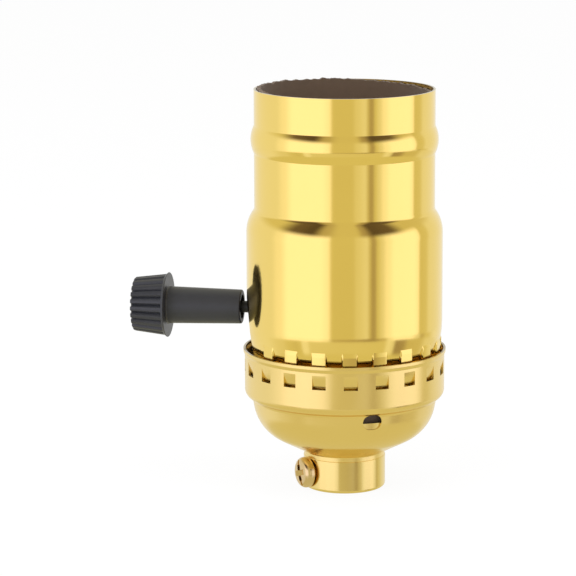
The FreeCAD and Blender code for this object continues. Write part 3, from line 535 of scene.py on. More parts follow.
# CARD SLEEVE: brown insulating card rolled into a tube inside the shell, with a butt seam at the
# front. It is only pushed in, so it stands a little askew, and its cut upper edge is furred.
SLEEVE_OUTER_R = COLLAR_R - SHELL_WALL - 0.15
SLEEVE_INNER_R = SLEEVE_OUTER_R - 0.7
SLEEVE_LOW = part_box("shell_sleeve")[0].z / MM
SLEEVE_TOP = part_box("shell_sleeve")[1].z / MM + 0.2
SLEEVE_ROWS = [SLEEVE_TOP, SLEEVE_TOP - 0.6, SLEEVE_TOP - 1.5, 60.0]
SLEEVE_SLOT = 4.6
SLEEVE_COLUMNS = 360
SLOT_COLUMNS = math.radians(24)
SEAM_HALF = 0.4
SKEW = 0.55
HIGH_SIDE = math.radians(150)
FUR = 0.16
CARD = finish_material("brown_card", (0.125, 0.082, 0.053), (0.085, 0.054, 0.034), 0.0, 0.75, 0.2, 900.0, 0.5,
                       distance=0.08, stretch=(300, 300, 60), sheen=0.15)


def thick_sheet(name, outer, inner, faces, material, crisp):
    """Sheet from its outer side, with the inner side and the cut edges added."""
    count = len(outer)
    edges = {(a, b) for face in faces for a, b in zip(face, face[1:] + face[:1])}
    back = [[corner + count for corner in face[::-1]] for face in faces]
    rims = [[b, a, a + count, b + count] for a, b in edges if (b, a) not in edges]
    piece = plain_mesh(name, outer + inner, faces + back + rims, None, material)
    piece.data.set_sharp_from_angle(angle=math.radians(crisp))
    return piece


def card_sleeve():
    """Card tube as a grid, with its upper edge askew and torn up and down by a fraction of a millimetre."""
    rng = np.random.default_rng(7)
    tear = np.convolve(rng.normal(0, 1, SLEEVE_COLUMNS + 3), np.ones(3) / 3, "valid")
    arch = [SPINDLE_Z + SLEEVE_SLOT * math.sin(math.radians(k)) for k in range(90, -1, -15)]
    rows = SLEEVE_ROWS + arch + [SLEEVE_LOW]
    seam = SEAM_HALF / SLEEVE_OUTER_R
    start, whole = seam - math.pi / 2, 2 * (math.pi - seam)
    angles = [start + whole * j / SLEEVE_COLUMNS for j in range(SLEEVE_COLUMNS + 1)]
    outer, inner, faces = [], [], []
    for i, z in enumerate(rows):
        half = slot_half(z - SPINDLE_Z, SLEEVE_SLOT, SLEEVE_OUTER_R)
        for j, angle in enumerate(angles):
            away = angle - math.pi
            if abs(away) < SLOT_COLUMNS and half:
                spread = half + (SLOT_COLUMNS - half) * abs(away) / SLOT_COLUMNS
                angle = math.pi + math.copysign(spread, away or 1)
            height = z if i else z + SKEW * math.cos(angle - HIGH_SIDE) + FUR * tear[j]
            outer.append(round_about(angle, SLEEVE_OUTER_R, height))
            inner.append(round_about(angle, SLEEVE_INNER_R, height))
    wide = SLEEVE_COLUMNS + 1
    middle = nearest([(a + b) / 2 for a, b in zip(angles, angles[1:])], math.pi)
    for i in range(len(rows) - 1):
        for j in range(SLEEVE_COLUMNS):
            if j != middle or rows[i + 1] >= SPINDLE_Z + SLEEVE_SLOT - SLACK:
                faces.append([i * wide + j, (i + 1) * wide + j, (i + 1) * wide + j + 1, i * wide + j + 1])
    return thick_sheet("card_sleeve", outer, inner, faces, CARD, 40)


sleeve = card_sleeve()
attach(sleeve, "holder")
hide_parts("shell_sleeve")

# CAP: drawn from gold anodised aluminium to a lipped ring, a step, a dome and a boss for the bush.
# The ring is pierced all round, and a port is lanced through the dome's side.
CAP_WALL = 0.4
RING_R = 18.72
RING_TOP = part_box("cap")[1].z / MM - 0.22
RING_BOTTOM = 17.9
RING_BEND = 1.6
LIP_R = RING_R + 0.24
LIP_HEIGHT = 1.1
LIP_BEND = 0.3
NECK_R = 17.3
NECK_Z = 17.15
NECK_BEND = 0.8
KNEE_R = 16.3
KNEE_Z = 11.4
DOME_BEND = 8.2
BOSS_R = 7.6
BOSS_TOP = 6.95
BOSS_BEND = 0.2
BUSH_TOP = 6.1
CAP_HOLE_R = 6.0
TAB_COUNT = 20
TAB_PHASE = math.radians(11.4)
TAB_WIDTH = 2.56
TAB_HINGE = 24.9
WINDOW_BOTTOM = 22.3
CAP_SECTION = [
    (LIP_R, RING_TOP, 0),
    (LIP_R, RING_TOP - LIP_HEIGHT / 2, LIP_BEND),
    (RING_R, RING_TOP - LIP_HEIGHT, LIP_BEND),
    (RING_R, RING_BOTTOM, RING_BEND),
    (NECK_R, NECK_Z, NECK_BEND),
    (KNEE_R, KNEE_Z, DOME_BEND),
    (BOSS_R, BOSS_TOP, BOSS_BEND),
    (BOSS_R, BUSH_TOP, 0),
    (CAP_HOLE_R, BUSH_TOP, 0),
]
PORT_ANGLE = math.radians(295.2)
PORT_R = 1.45
PORT_STRAIGHT = 0.35
PORT_BOTTOM = 14.4
PORT_Z = PORT_BOTTOM + PORT_R
PORT_BLOCK_TOP = 17.46
PORT_BLOCK_BOTTOM = 13.8
PORT_BLOCK_HALF = math.radians(8)
PORT_RINGS = 4
PORT_FACE_R = 17.1
PORT_ROWS = [16.6, 16.0, 15.4, 14.8, 14.3]
GILT_CAP = finish_material("gilt_satin", (0.90, 0.69, 0.26), (0.86, 0.65, 0.235), 1.0, 0.22, 0.06, 120.0,
                           0.12)
as_sheared(GILT_CAP, 0.12)
TAB_ANGLE = TAB_WIDTH / 2 / RING_R
TAB_CENTRES = [TAB_PHASE + 2 * math.pi * i / TAB_COUNT for i in range(TAB_COUNT)]


def cap_openings(angle, top, bottom):
    if top <= TAB_HINGE + LEVEL_SLACK and bottom >= WINDOW_BOTTOM - LEVEL_SLACK:
        return any(near(angle, centre, TAB_ANGLE) for centre in TAB_CENTRES)
    if top <= PORT_BLOCK_TOP + LEVEL_SLACK and bottom >= PORT_BLOCK_BOTTOM - LEVEL_SLACK:
        return near(angle, PORT_ANGLE, PORT_BLOCK_HALF)
    return False


def port_edge(across, up):
    """Point where a ray from the port's middle meets its rounded edge."""
    length = math.hypot(across, up)
    low, high = 0.0, length
    for _ in range(24):
        reach = (low + high) / 2
        x, y = abs(across) * reach / length, up * reach / length
        inside = math.hypot(max(x - PORT_STRAIGHT, 0), y) < PORT_R
        low, high = (reach, high) if inside else (low, reach)
    return across * low / length, up * low / length


def port_patch(rows, index, points, inner, normals, faces, face_normals):
    """Rings of faces that carry the cap's sheet in to the port's rounded edge."""
    heights = [row[0][1] for row in rows]
    first, last = (nearest(heights, level) for level in (PORT_BLOCK_TOP, PORT_BLOCK_BOTTOM))
    left, end = (nearest(cap_columns, PORT_ANGLE + side * PORT_BLOCK_HALF) for side in (-1, 1))
    path = [(i, left) for i in range(first, last)] + [(last, j) for j in range(left, end)]
    path += [(i, end) for i in range(last, first, -1)] + [(first, j) for j in range(end, left, -1)]
    span = rows[first:last + 1][::-1]
    levels = heights[first:last + 1][::-1]
    previous = [index[key] for key in path]
    places = [((cap_columns[j] - PORT_ANGLE) * PORT_FACE_R, heights[i] - PORT_Z) for i, j in path]
    targets = [port_edge(*place) for place in places]
    for ring in range(1, PORT_RINGS + 1):
        share = ring / PORT_RINGS
        current = []
        for (x0, y0), (x1, y1) in zip(places, targets):
            angle = PORT_ANGLE + (x0 + (x1 - x0) * share) / PORT_FACE_R
            z = PORT_Z + y0 + (y1 - y0) * share
            outer = np.array([np.interp(z, levels, [row[0][0] for row in span]), z])
            normal = unit(np.array([np.interp(z, levels, [row[3][k] for row in span]) for k in (0, 1)]))
            current.append(len(points))
            points.append(round_about(angle, *outer))
            inner.append(round_about(angle, *(outer - CAP_WALL * normal)))
            normals.append([round_about(angle, *normal)] * 2)
        for k in range(len(path)):
            face = [previous[k], previous[k - len(path) + 1], current[k - len(path) + 1], current[k]]
            faces.append(face)
            face_normals.append([normals[corner][0] for corner in face])
        previous = current


cap_rows = section_points(CAP_SECTION, CAP_WALL, [
    TAB_HINGE, WINDOW_BOTTOM, PORT_BLOCK_TOP, PORT_BLOCK_BOTTOM] + PORT_ROWS)
cap_edges = [centre + side * TAB_ANGLE for centre in TAB_CENTRES for side in (-1, 1)]
cap_edges += [PORT_ANGLE + side * PORT_BLOCK_HALF for side in (-1, 1)]
cap_columns = columns(math.pi, cap_edges)
cap = sheet_piece("cap_sheet", cap_rows, cap_columns, cap_openings, GILT_CAP, patch=port_patch)
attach(cap, "holder")
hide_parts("cap")

# CAP TABS AND PORT FLAP: sheared from the ring on three sides and leant inwards about their top
# edges, so that they catch under the shell's bead. The port's lower half is a flap bent inwards.
TAB_SLIT = 0.35
TAB_LEAN = 0.55
TAB_CURL = 1.5
TAB_LAP = 0.02
FLAP_HEIGHT = 1.15
FLAP_LEAN = 0.12
FLAP_CURL = 1.2
FLAP_SUNK = 0.24
FLAP_CLEAR = 0.08
FLAP_FOOT_R = KNEE_R + (PORT_BOTTOM - KNEE_Z) * (NECK_R - KNEE_R) / (NECK_Z - KNEE_Z)


def tab_tree(sizes):
    """Sheet tabs that lean inwards from the top edges of their windows."""
    tree, entry = start_tree("lanced_tabs", sizes)
    block = box_of(tree, entry["Sheet"], entry["Width"], entry["Length"], 9, 9)
    x, y, z = point_place(tree)
    down = less(0.5, calc("DIVIDE", z, entry["Length"]))
    bent = times(entry["Lean"], calc("POWER", down, entry["Curl"]))
    face = less(entry["Face Radius"], bent)
    radius = calc("ADD", face, less(x, times(entry["Sheet"], 0.5)))
    height = less(entry["Hinge Height"], times(down, entry["Length"]))
    tab = bent_about(tree, block, radius, calc("DIVIDE", y, entry["Face Radius"]), height)
    end_tree(tree, entry, ring_about(tree, entry, tab))
    return tree


TAB_SIZES = {
    "Count": TAB_COUNT, "Phase": TAB_PHASE, "Width": TAB_WIDTH * MM, "Sheet": CAP_WALL * MM,
    "Hinge Height": (TAB_HINGE + TAB_LAP) * MM, "Length": (TAB_HINGE - WINDOW_BOTTOM - TAB_SLIT) * MM,
    "Lean": TAB_LEAN * MM, "Curl": TAB_CURL, "Face Radius": RING_R * MM}
tabs = grown("cap_tabs", tab_tree(TAB_SIZES), TAB_SIZES, GILT_CAP, crisp=35)
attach(tabs, "holder")


def port_flap():
    """The port's lower half, still joined at its bottom edge and leaning into the cap."""
    across, up = 12, 6
    outer, inner, faces = [], [], []
    for i in range(up + 1):
        rise = FLAP_HEIGHT * i / up
        half = PORT_STRAIGHT + math.sqrt(max(PORT_R ** 2 - (PORT_R - rise) ** 2, 0.0)) - FLAP_CLEAR
        radius = FLAP_FOOT_R - FLAP_SUNK - FLAP_LEAN * (rise / FLAP_HEIGHT) ** FLAP_CURL
        for j in range(across + 1):
            angle = PORT_ANGLE + (2 * j / across - 1) * half / FLAP_FOOT_R
            outer.append(round_about(angle, radius, PORT_BOTTOM + rise))
            inner.append(round_about(angle, radius - CAP_WALL, PORT_BOTTOM + rise))
    wide = across + 1
    for i in range(up):
        for j in range(across):
            faces.append([i * wide + j, i * wide + j + 1, (i + 1) * wide + j + 1, (i + 1) * wide + j])
    return thick_sheet("port_flap", outer, inner, faces, GILT_CAP, 35)


flap = port_flap()
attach(flap, "holder")

# CAP LINING: brown card pressed to a cup that keeps the wires off the cap. It lies loose between
# the cap and the switch body, and its side is seen through the port.


def paint(material, *nodes):
    """Gives pieces that keep their solid's own shape their material."""
    for node in nodes:
        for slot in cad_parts[node].material_slots:
            slot.material = material


paint(CARD, "cap_lining")

# BUSH: turned from bar, lacquered bright, bored and tapped for the lamp's pipe, and staked over
# inside the cap. A cross hole near its middle is tapped for the set screw.
BUSH_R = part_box("bush")[1].x / MM
BUSH_EDGE = 0.6
BUSH_COLUMNS = 144
THREAD_R = 5.0
THREAD_CHAMFER = 0.4
STAKE_R = BOSS_R - CAP_WALL - 0.1
STAKE_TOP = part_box("bush")[1].z / MM
STAKE_EDGE = 0.35
PIPE_PITCH = 1.0
PIPE_TURNS = 5.9
PIPE_RIDGE = 0.34
PIPE_RIDGE_SUNK = 0.08
PIPE_THREAD_FOOT = 0.75
TINY = 1e-6
GILT_BUSH = finish_material("gilt_turned", (0.86, 0.67, 0.25), (0.81, 0.62, 0.22), 1.0, 0.13, 0.08, 60.0,
                            0.12, distance=0.01, stretch=(1, 1, 90))


def turned_piece(name, corners, count, material, true_normals=True):
    """Solid turned about Z, from the corners of its half section, down its outside."""
    rows = section_points(corners, 0.0, [])
    closed = np.allclose(rows[0][0], rows[-1][0])
    points, normals, index = [], [], {}
    for i, (outer, _, above, below) in enumerate(rows):
        for j in range(count):
            if outer[0] < TINY and j:
                index[i, j] = index[i, 0]
            elif closed and i == len(rows) - 1:
                index[i, j] = index[0, j]
            else:
                index[i, j] = len(points)
                points.append(round_about(2 * math.pi * j / count, *outer))
    faces = []
    for i in range(len(rows) - 1):
        for j in range(count):
            after = (j + 1) % count
            angle, end = 2 * math.pi * j / count, 2 * math.pi * (j + 1) / count
            upper, lower = rows[i][3], rows[i + 1][2]
            corner = [index[i, j], index[i + 1, j], index[i + 1, after], index[i, after]]
            turned = [round_about(angle, *upper), round_about(angle, *lower),
                      round_about(end, *lower), round_about(end, *upper)]
            if corner[0] == corner[3]:
                corner, turned = corner[:3], turned[:3]
            elif corner[1] == corner[2]:
                corner, turned = [corner[0], corner[1], corner[3]], [turned[0], turned[1], turned[3]]
            faces.append(corner)
            normals += turned
    return plain_mesh(name, points, faces, normals if true_normals else None, material)


mouth_r = THREAD_R + THREAD_CHAMFER
bush = turned_piece("bush_turned", [
    (mouth_r, STAKE_TOP, 0), (STAKE_R, STAKE_TOP, STAKE_EDGE), (STAKE_R, BUSH_TOP + CAP_WALL, 0),
    (CAP_HOLE_R, BUSH_TOP + CAP_WALL, 0), (CAP_HOLE_R, BUSH_TOP, 0), (BUSH_R, BUSH_TOP, 0.12),
    (BUSH_R, 0, BUSH_EDGE), (mouth_r, 0, 0.05), (THREAD_R, THREAD_CHAMFER, 0),
    (THREAD_R, STAKE_TOP - THREAD_CHAMFER, 0), (mouth_r, STAKE_TOP, 0)], BUSH_COLUMNS, GILT_BUSH)
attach(bush, "holder")
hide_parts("bush")


def thread_tree(sizes):
    """One thread ridge wound on a cylinder about Z, from its foot up."""
    tree, entry = start_tree("thread_ridge", sizes)
    length = times(entry["Pitch"], entry["Turns"])
    helix = add_node(tree, "GeometryNodeCurveSpiral", {
        "Resolution": 48, "Rotations": entry["Turns"], "Start Radius": entry["Radius"],
        "End Radius": entry["Radius"], "Height": length})
    ridge = add_node(tree, "GeometryNodeCurvePrimitiveCircle", {"Resolution": 6, "Radius": entry["Ridge"]})
    wound = add_node(tree, "GeometryNodeCurveToMesh", {
        "Curve": helix.outputs[0], "Profile Curve": ridge.outputs[0], "Fill Caps": True})
    end_tree(tree, entry, wound.outputs[0])
    return tree


PIPE_THREAD = {
    "Radius": (THREAD_R + PIPE_RIDGE_SUNK) * MM, "Pitch": PIPE_PITCH * MM, "Turns": PIPE_TURNS,
    "Ridge": PIPE_RIDGE * MM}
THREAD = thread_tree(PIPE_THREAD)
bush_thread = grown("bush_thread", THREAD, PIPE_THREAD, GILT_BUSH)
bush_thread.data.transform(Matrix.Translation((0, 0, PIPE_THREAD_FOOT * MM)))
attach(bush_thread, "holder")

# SET SCREW: a brass screw with a domed head, which pinches the pipe. Its head has a cross recess,
# with one arm of the cross carried right through as a slot.
SET_ANGLE = math.radians(216.4)
SET_Z = 3.3
HEAD_R = 2.9
HEAD_HEIGHT = 1.9
HEAD_CROWN = 0.22
HEAD_FLAT_R = 0.9
HEAD_UNDERSIDE = BUSH_R + 0.05
SHANK_R = 1.9
SHANK_ROOT_R = SHANK_R - 0.12
SCREW_COLUMNS = 64
SCREW_PITCH = 0.7
SCREW_TURNS = 4.0
SCREW_RIDGE = 0.2
SCREW_RIDGE_R = SHANK_R - 0.1
CROSS_HALF = 1.75
CROSS_ARM = 0.52
CROSS_DEPTH = 1.35
SLOT_HALF_WIDTH = 0.28
SLOT_DEPTH = 0.4
HEAD_TURN = math.radians(18)
SLOT_HALF_LONG = HEAD_R + 0.4
CUTTER_CLEAR = 0.3
SHANK_END = THREAD_R + 0.3 - HEAD_UNDERSIDE
SCREW_RIDGE_FOOT = SHANK_END + 0.3
SCREW_BRASS = finish_material("screw_brass", (0.80, 0.62, 0.33), (0.62, 0.44, 0.20), 1.0, 0.17, 0.15, 400.0,
                              0.25)


def cut_by(piece, cutter):
    """Takes one piece out of another and leaves a plain mesh."""
    modifier = piece.modifiers.new("cut", "BOOLEAN")
    modifier.object = cutter
    modifier.operation = "DIFFERENCE"
    modifier.solver = "EXACT"
    graph = bpy.context.evaluated_depsgraph_get()
    mesh = bpy.data.meshes.new_from_object(piece.evaluated_get(graph), depsgraph=graph)
    piece.modifiers.clear()
    piece.data = mesh
    bpy.data.objects.remove(cutter)


def tapered_bar(name, half_long, half_wide, bottom, top, end_share, side_share):
    """Bar with its four sides leaning in towards its lower end, as a driver's blade cuts it."""
    points = []
    for z, long_share, wide_share in ((bottom, end_share, side_share), (top, 1.0, 1.0)):
        for x, y in ((-1, -1), (1, -1), (1, 1), (-1, 1)):
            points.append((x * half_long * long_share, y * half_wide * wide_share, z))
    faces = [[3, 2, 1, 0], [4, 5, 6, 7]] + [[k, (k + 1) % 4, (k + 1) % 4 + 4, k + 4] for k in range(4)]
    return plain_mesh(name, points, faces)


set_screw = turned_piece("set_screw_made", [
    (0, HEAD_HEIGHT, 0), (HEAD_FLAT_R, HEAD_HEIGHT, 2.0), (HEAD_R, HEAD_HEIGHT - HEAD_CROWN, 1.15),
    (HEAD_R, 0, 0.2), (SHANK_ROOT_R, 0, 0), (SHANK_ROOT_R, SHANK_END, 0.2), (0, SHANK_END, 0)],
    SCREW_COLUMNS, SCREW_BRASS, False)
for name, half_long, half_wide, depth, end_share, side_share in (
    ("recess", CROSS_HALF, CROSS_ARM, CROSS_DEPTH, 0.55, 0.9),
    ("recess", CROSS_ARM, CROSS_HALF, CROSS_DEPTH, 0.9, 0.55),
    ("slot", SLOT_HALF_LONG, SLOT_HALF_WIDTH, SLOT_DEPTH, 1.0, 1.0),
):
    cutter = tapered_bar(name, half_long, half_wide, HEAD_HEIGHT - depth, HEAD_HEIGHT + CUTTER_CLEAR,
                         end_share, side_share)
    cut_by(set_screw, cutter)
set_screw.data.shade_smooth()
set_screw.data.set_sharp_from_angle(angle=math.radians(32))
ridge = grown("set_screw_thread", THREAD, {
    "Radius": SCREW_RIDGE_R * MM, "Pitch": SCREW_PITCH * MM, "Turns": SCREW_TURNS,
    "Ridge": SCREW_RIDGE * MM}, SCREW_BRASS)
ridge.data.transform(Matrix.Translation((0, 0, SCREW_RIDGE_FOOT * MM)))
outwards = Matrix.Rotation(SET_ANGLE, 4, "Z") @ Matrix.Translation((HEAD_UNDERSIDE * MM, 0, SET_Z * MM))
outwards = outwards @ Matrix.Rotation(math.pi / 2, 4, "Y") @ Matrix.Rotation(HEAD_TURN, 4, "Z")
for piece in (set_screw, ridge):
    piece.data.transform(outwards)
    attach(piece, "set_screw")
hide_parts("set_screw")

# SWITCH BODY, COVER AND FIBRE DISC: black phenolic mouldings with a red fibre disc on top, riveted
# together. The body stands on the card lining inside the shell's skirt.
MOULDING = finish_material("black_moulding", (0.022, 0.019, 0.018), (0.012, 0.010, 0.010), 0.0, 0.42, 0.25,
                           700.0, 0.25, distance=0.03)
FIBRE = finish_material("red_fibre", (0.24, 0.045, 0.03), (0.16, 0.03, 0.02), 0.0, 0.6, 0.2, 900.0, 0.3,
                        distance=0.04)
paint(MOULDING, "switch_body", "switch_cover")
paint(FIBRE, "fibre_disc")

# LAMP'S SCREW SHELL: brass sheet drawn to a cup, with the lamp's thread rolled into its side.
# Two rivets hold it to the switch body.
LAMP_R = 13.3
LAMP_WALL = 0.35
LAMP_OUTER_R = LAMP_R + LAMP_WALL
LAMP_SIDE_R = LAMP_R - 0.1
LAMP_PITCH = 3.63
LAMP_RELIEF = 1.05
LAMP_RUN_OUT = 1.6
LAMP_LIP_TOP = 66.0
LAMP_LIP_FLARE = 1.05
LAMP_THREAD_TOP = 64.9
LAMP_HOLE_R = 6.5
LAMP_BEND = 0.4
FIBRE_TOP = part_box("fibre_disc")[1].z / MM
NECK_TOP = FIBRE_TOP + 4.6
NECK_IN = 0.9
THREAD_ROW = 0.35
BRASS = finish_material("contact_brass", (0.80, 0.60, 0.27), (0.62, 0.44, 0.18), 1.0, 0.28, 0.2, 250.0, 0.15)


def rolled_tree(sizes):
    """Presses a rolled lamp thread into a cylinder's side, fading out at both ends."""
    tree, entry = start_tree("rolled_thread", sizes)
    x, y, z = point_place(tree)
    radius = calc("SQRT", calc("ADD", times(x, x), times(y, y)))
    turn = calc("DIVIDE", times(z, 2 * math.pi), entry["Pitch"])
    phase = less(turn, calc("ARCTAN2", y, x))
    wave = calc("MULTIPLY_ADD", calc("COSINE", phase), -0.5, 0.5)
    fade = [eased(tree, times(less(z, entry[end]), way), 0.0, entry["Run Out"])
            for end, way in (("Low", 1.0), ("High", -1.0))]
    side = calc("GREATER_THAN", radius, entry["Side From"])
    press = times(times(wave, side), times(*fade))
    inwards = calc("DIVIDE", times(press, entry["Relief"]), radius)
    share = less(1.0, inwards)
    end_tree(tree, entry, put_at(tree, entry["Geometry"], times(x, share), times(y, share), z))
    return tree


neck_r = LAMP_OUTER_R - NECK_IN
lamp_rows = section_points([
    (LAMP_OUTER_R + LAMP_LIP_FLARE, LAMP_LIP_TOP, 0),
    (LAMP_OUTER_R, LAMP_LIP_TOP - LAMP_LIP_FLARE, LAMP_BEND),
    (LAMP_OUTER_R, NECK_TOP, LAMP_BEND), (neck_r, NECK_TOP - NECK_IN, LAMP_BEND),
    (neck_r, FIBRE_TOP, LAMP_BEND), (LAMP_HOLE_R, FIBRE_TOP, 0)], LAMP_WALL,
    [NECK_TOP + THREAD_ROW * k for k in range(1, 45)])
start = sheet_piece("screw_shell_start", lamp_rows, columns(0.0, []), lambda *_: False, BRASS)
LAMP_THREAD = {
    "Pitch": LAMP_PITCH * MM, "Relief": LAMP_RELIEF * MM, "Low": NECK_TOP * MM, "High": LAMP_THREAD_TOP * MM,
    "Run Out": LAMP_RUN_OUT * MM, "Side From": LAMP_SIDE_R * MM}
screw_shell = grown("screw_shell_rolled", rolled_tree(LAMP_THREAD), LAMP_THREAD, BRASS, start=start, crisp=40)
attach(screw_shell, "holder")
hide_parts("screw_shell")

# CONTACTS AND RIVETS: a bronze tongue for the lamp's centre contact, its rivet, and the two rivets
# of the screw shell.
BRONZE = finish_material("contact_bronze", (0.70, 0.45, 0.25), (0.55, 0.33, 0.17), 1.0, 0.32, 0.2, 300.0,
                         0.15)
paint(BRONZE, "centre_contact")
paint(BRASS, "centre_rivet", "shell_rivets")

# TERMINALS AND SWITCH PARTS: brass for the live side and nickel plate for the neutral, with bronze
# contacts, a steel click spring and a pale nylon cam on the spindle.
NICKEL = finish_material("nickel_plate", (0.70, 0.69, 0.66), (0.58, 0.57, 0.55), 1.0, 0.25, 0.15, 300.0, 0.1)
SPRING = finish_material("spring_steel", (0.42, 0.43, 0.46), (0.30, 0.31, 0.36), 1.0, 0.3, 0.2, 400.0, 0.15)
NYLON = finish_material("pale_nylon", (0.72, 0.69, 0.60), (0.64, 0.60, 0.50), 0.0, 0.45, 0.15, 300.0, 0.2)
paint(BRASS, "hot_terminal", "spindle_bearing")
paint(SCREW_BRASS, "hot_terminal_screw")
paint(NICKEL, "neutral_terminal", "neutral_terminal_screw")
paint(BRONZE, "fixed_contact", "spring_contact")
paint(SPRING, "click_spring", "spindle_clip")
paint(NYLON, "switch_cam")

# SPINDLE AND KNOB: a blackened steel spindle, with a black moulded knob pushed on its end. The
# knob has a tapered stem, a thin lip and a fluted head.
KNOB_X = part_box("knob")[1].x / MM
KNOB_LENGTH = (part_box("knob")[1].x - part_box("knob")[0].x) / MM
STEM_LENGTH = 14.1
STEM_R = 3.5
STEM_NEAR_R = 3.2
STEM_HOLLOW_R = 2.3
STEM_HOLLOW = 0.8
KNOB_HEAD_R = 5.8
KNOB_END_R = 5.07
KNOB_RIM = 1.17
KNOB_DISH = 0.5
KNOB_LIP_R = KNOB_HEAD_R + 0.4
LIP_TOP = STEM_LENGTH + 0.5
HEAD_ROWS = [KNOB_LENGTH - 1.2 - 0.75 * k for k in range(7)]
STEM_ROWS = [12, 9, 6, 3]
FLUTE_COUNT = 22
FLUTE_HALF = 0.27
FLUTE_DEPTH = 0.36
FLUTE_DIP = 0.4
FLUTE_STARTS = 0.82
FLUTE_FULL = 0.94
RIDGE_CROWN = 0.14
FLUTE_COLUMNS = (0, 0.05, 0.11, 0.17, 0.22, FLUTE_HALF, 0.29, 0.33, 0.38, 0.44)
BLACK_STEEL = finish_material("black_spindle", (0.03, 0.03, 0.032), (0.02, 0.02, 0.022), 0.6, 0.35, 0.2,
                              400.0, 0.1)
KNOB_BLACK = finish_material("black_knob", (0.026, 0.027, 0.034), (0.020, 0.021, 0.027), 0.0, 0.38, 0.12,
                             500.0, 0.35, distance=0.03)
paint(BLACK_STEEL, "spindle")


def flute_tree(sizes):
    """Cuts V-shaped flutes all round a crowned head that lies along Z, and dips its end at each."""
    tree, entry = start_tree("flutes", sizes)
    x, y, z = point_place(tree)
    square = calc("ADD", times(x, x), times(y, y))
    radius = calc("MAXIMUM", TINY, calc("SQRT", square))
    turns = calc("DIVIDE", calc("ARCTAN2", y, x), 2 * math.pi)
    number = calc("MULTIPLY_ADD", turns, entry["Count"], 0.5)
    off = calc("ABSOLUTE", less(calc("FRACT", number), 0.5))
    away = calc("DIVIDE", off, entry["Half Width"])
    notch = calc("MAXIMUM", 0.0, less(1.0, away))
    beside = calc("MULTIPLY_ADD", off, -2.0, 1.0)
    fall = times(entry["Crown"], calc("POWER", beside, 2.0))
    cut = calc("MULTIPLY_ADD", entry["Depth"], notch, fall)
    outer = add_node(tree, "ShaderNodeMapRange", {
        "Value": radius, "From Min": times(entry["End Radius"], entry["Starts"]),
        "From Max": times(entry["End Radius"], entry["Full"])}).outputs[0]
    on_head = times(outer, calc("GREATER_THAN", z, entry["Low"]))
    share = less(1.0, calc("DIVIDE", times(cut, on_head), radius))
    at_end = add_node(tree, "ShaderNodeMapRange", {
        "Value": z, "From Min": less(entry["High"], entry["Depth"]),
        "From Max": entry["High"]}).outputs[0]
    lowered = less(z, times(times(entry["Dip"], notch), times(at_end, on_head)))
    end_tree(tree, entry, put_at(tree, entry["Geometry"], times(x, share), times(y, share), lowered))
    return tree


def knob_blank():
    """The knob before its flutes are cut, along Z, with columns crowded at each flute's edges."""
    dish, rim = KNOB_LENGTH - KNOB_DISH, KNOB_END_R - KNOB_RIM
    rows = section_points([
        (0, dish, 0), (rim - KNOB_DISH, dish, 0.3), (rim, KNOB_LENGTH, 0.2), (KNOB_END_R, KNOB_LENGTH, 0.3),
        (KNOB_HEAD_R, LIP_TOP, 0.1), (KNOB_LIP_R, STEM_LENGTH, 0.08), (STEM_R, STEM_LENGTH, 0.35),
        (STEM_NEAR_R, 0, 0.25), (STEM_HOLLOW_R, 0, 0), (STEM_HOLLOW_R, STEM_HOLLOW, 0), (0, STEM_HOLLOW, 0)],
        0.0, HEAD_ROWS + STEM_ROWS)
    shares = sorted({*FLUTE_COLUMNS, 0.5, *(1 - share for share in FLUTE_COLUMNS[1:])})
    turns = [(flute + share) / FLUTE_COUNT for flute in range(FLUTE_COUNT) for share in shares]
    points, faces, index = [], [], {}
    for i, row in enumerate(rows):
        for j, turn in enumerate(turns):
            if row[0][0] < TINY and j:
                index[i, j] = index[i, 0]
                continue
            index[i, j] = len(points)
            points.append(round_about(2 * math.pi * turn, *row[0]))
    for i in range(len(rows) - 1):
        for j in range(len(turns)):
            after = (j + 1) % len(turns)
            face = [index[i, j], index[i + 1, j], index[i + 1, after], index[i, after]]
            faces.append(list(dict.fromkeys(face)))
    return plain_mesh("knob_blank", points, faces)


FLUTE_SIZES = {
    "Count": FLUTE_COUNT, "Half Width": FLUTE_HALF, "Depth": FLUTE_DEPTH * MM, "Crown": RIDGE_CROWN * MM,
    "Dip": FLUTE_DIP * MM, "Low": (LIP_TOP - ROW_GAP / 2) * MM, "High": KNOB_LENGTH * MM,
    "End Radius": KNOB_END_R * MM, "Starts": FLUTE_STARTS, "Full": FLUTE_FULL}
knob = grown("knob_fluted", flute_tree(FLUTE_SIZES), FLUTE_SIZES, KNOB_BLACK, start=knob_blank(), crisp=32)
along_spindle = Matrix.Rotation(-math.pi / 2, 4, "Y")
knob.data.transform(Matrix.Translation((KNOB_X * MM, 0, SPINDLE_Z * MM)) @ along_spindle)
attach(knob, "switch")
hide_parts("knob")

# FLOOR: a plain sheet of white paper under the holder, which takes its soft shadow. It lies just
# below the bush's lower face.
FLOOR_HALF = 1500
FLOOR_Z = -0.02
FLOOR_GLOW = 0.93
PAPER_SHADE = (0.86, 0.86, 0.86, 1)
PAPER_WHITE = (0.88, 0.88, 0.88, 1)


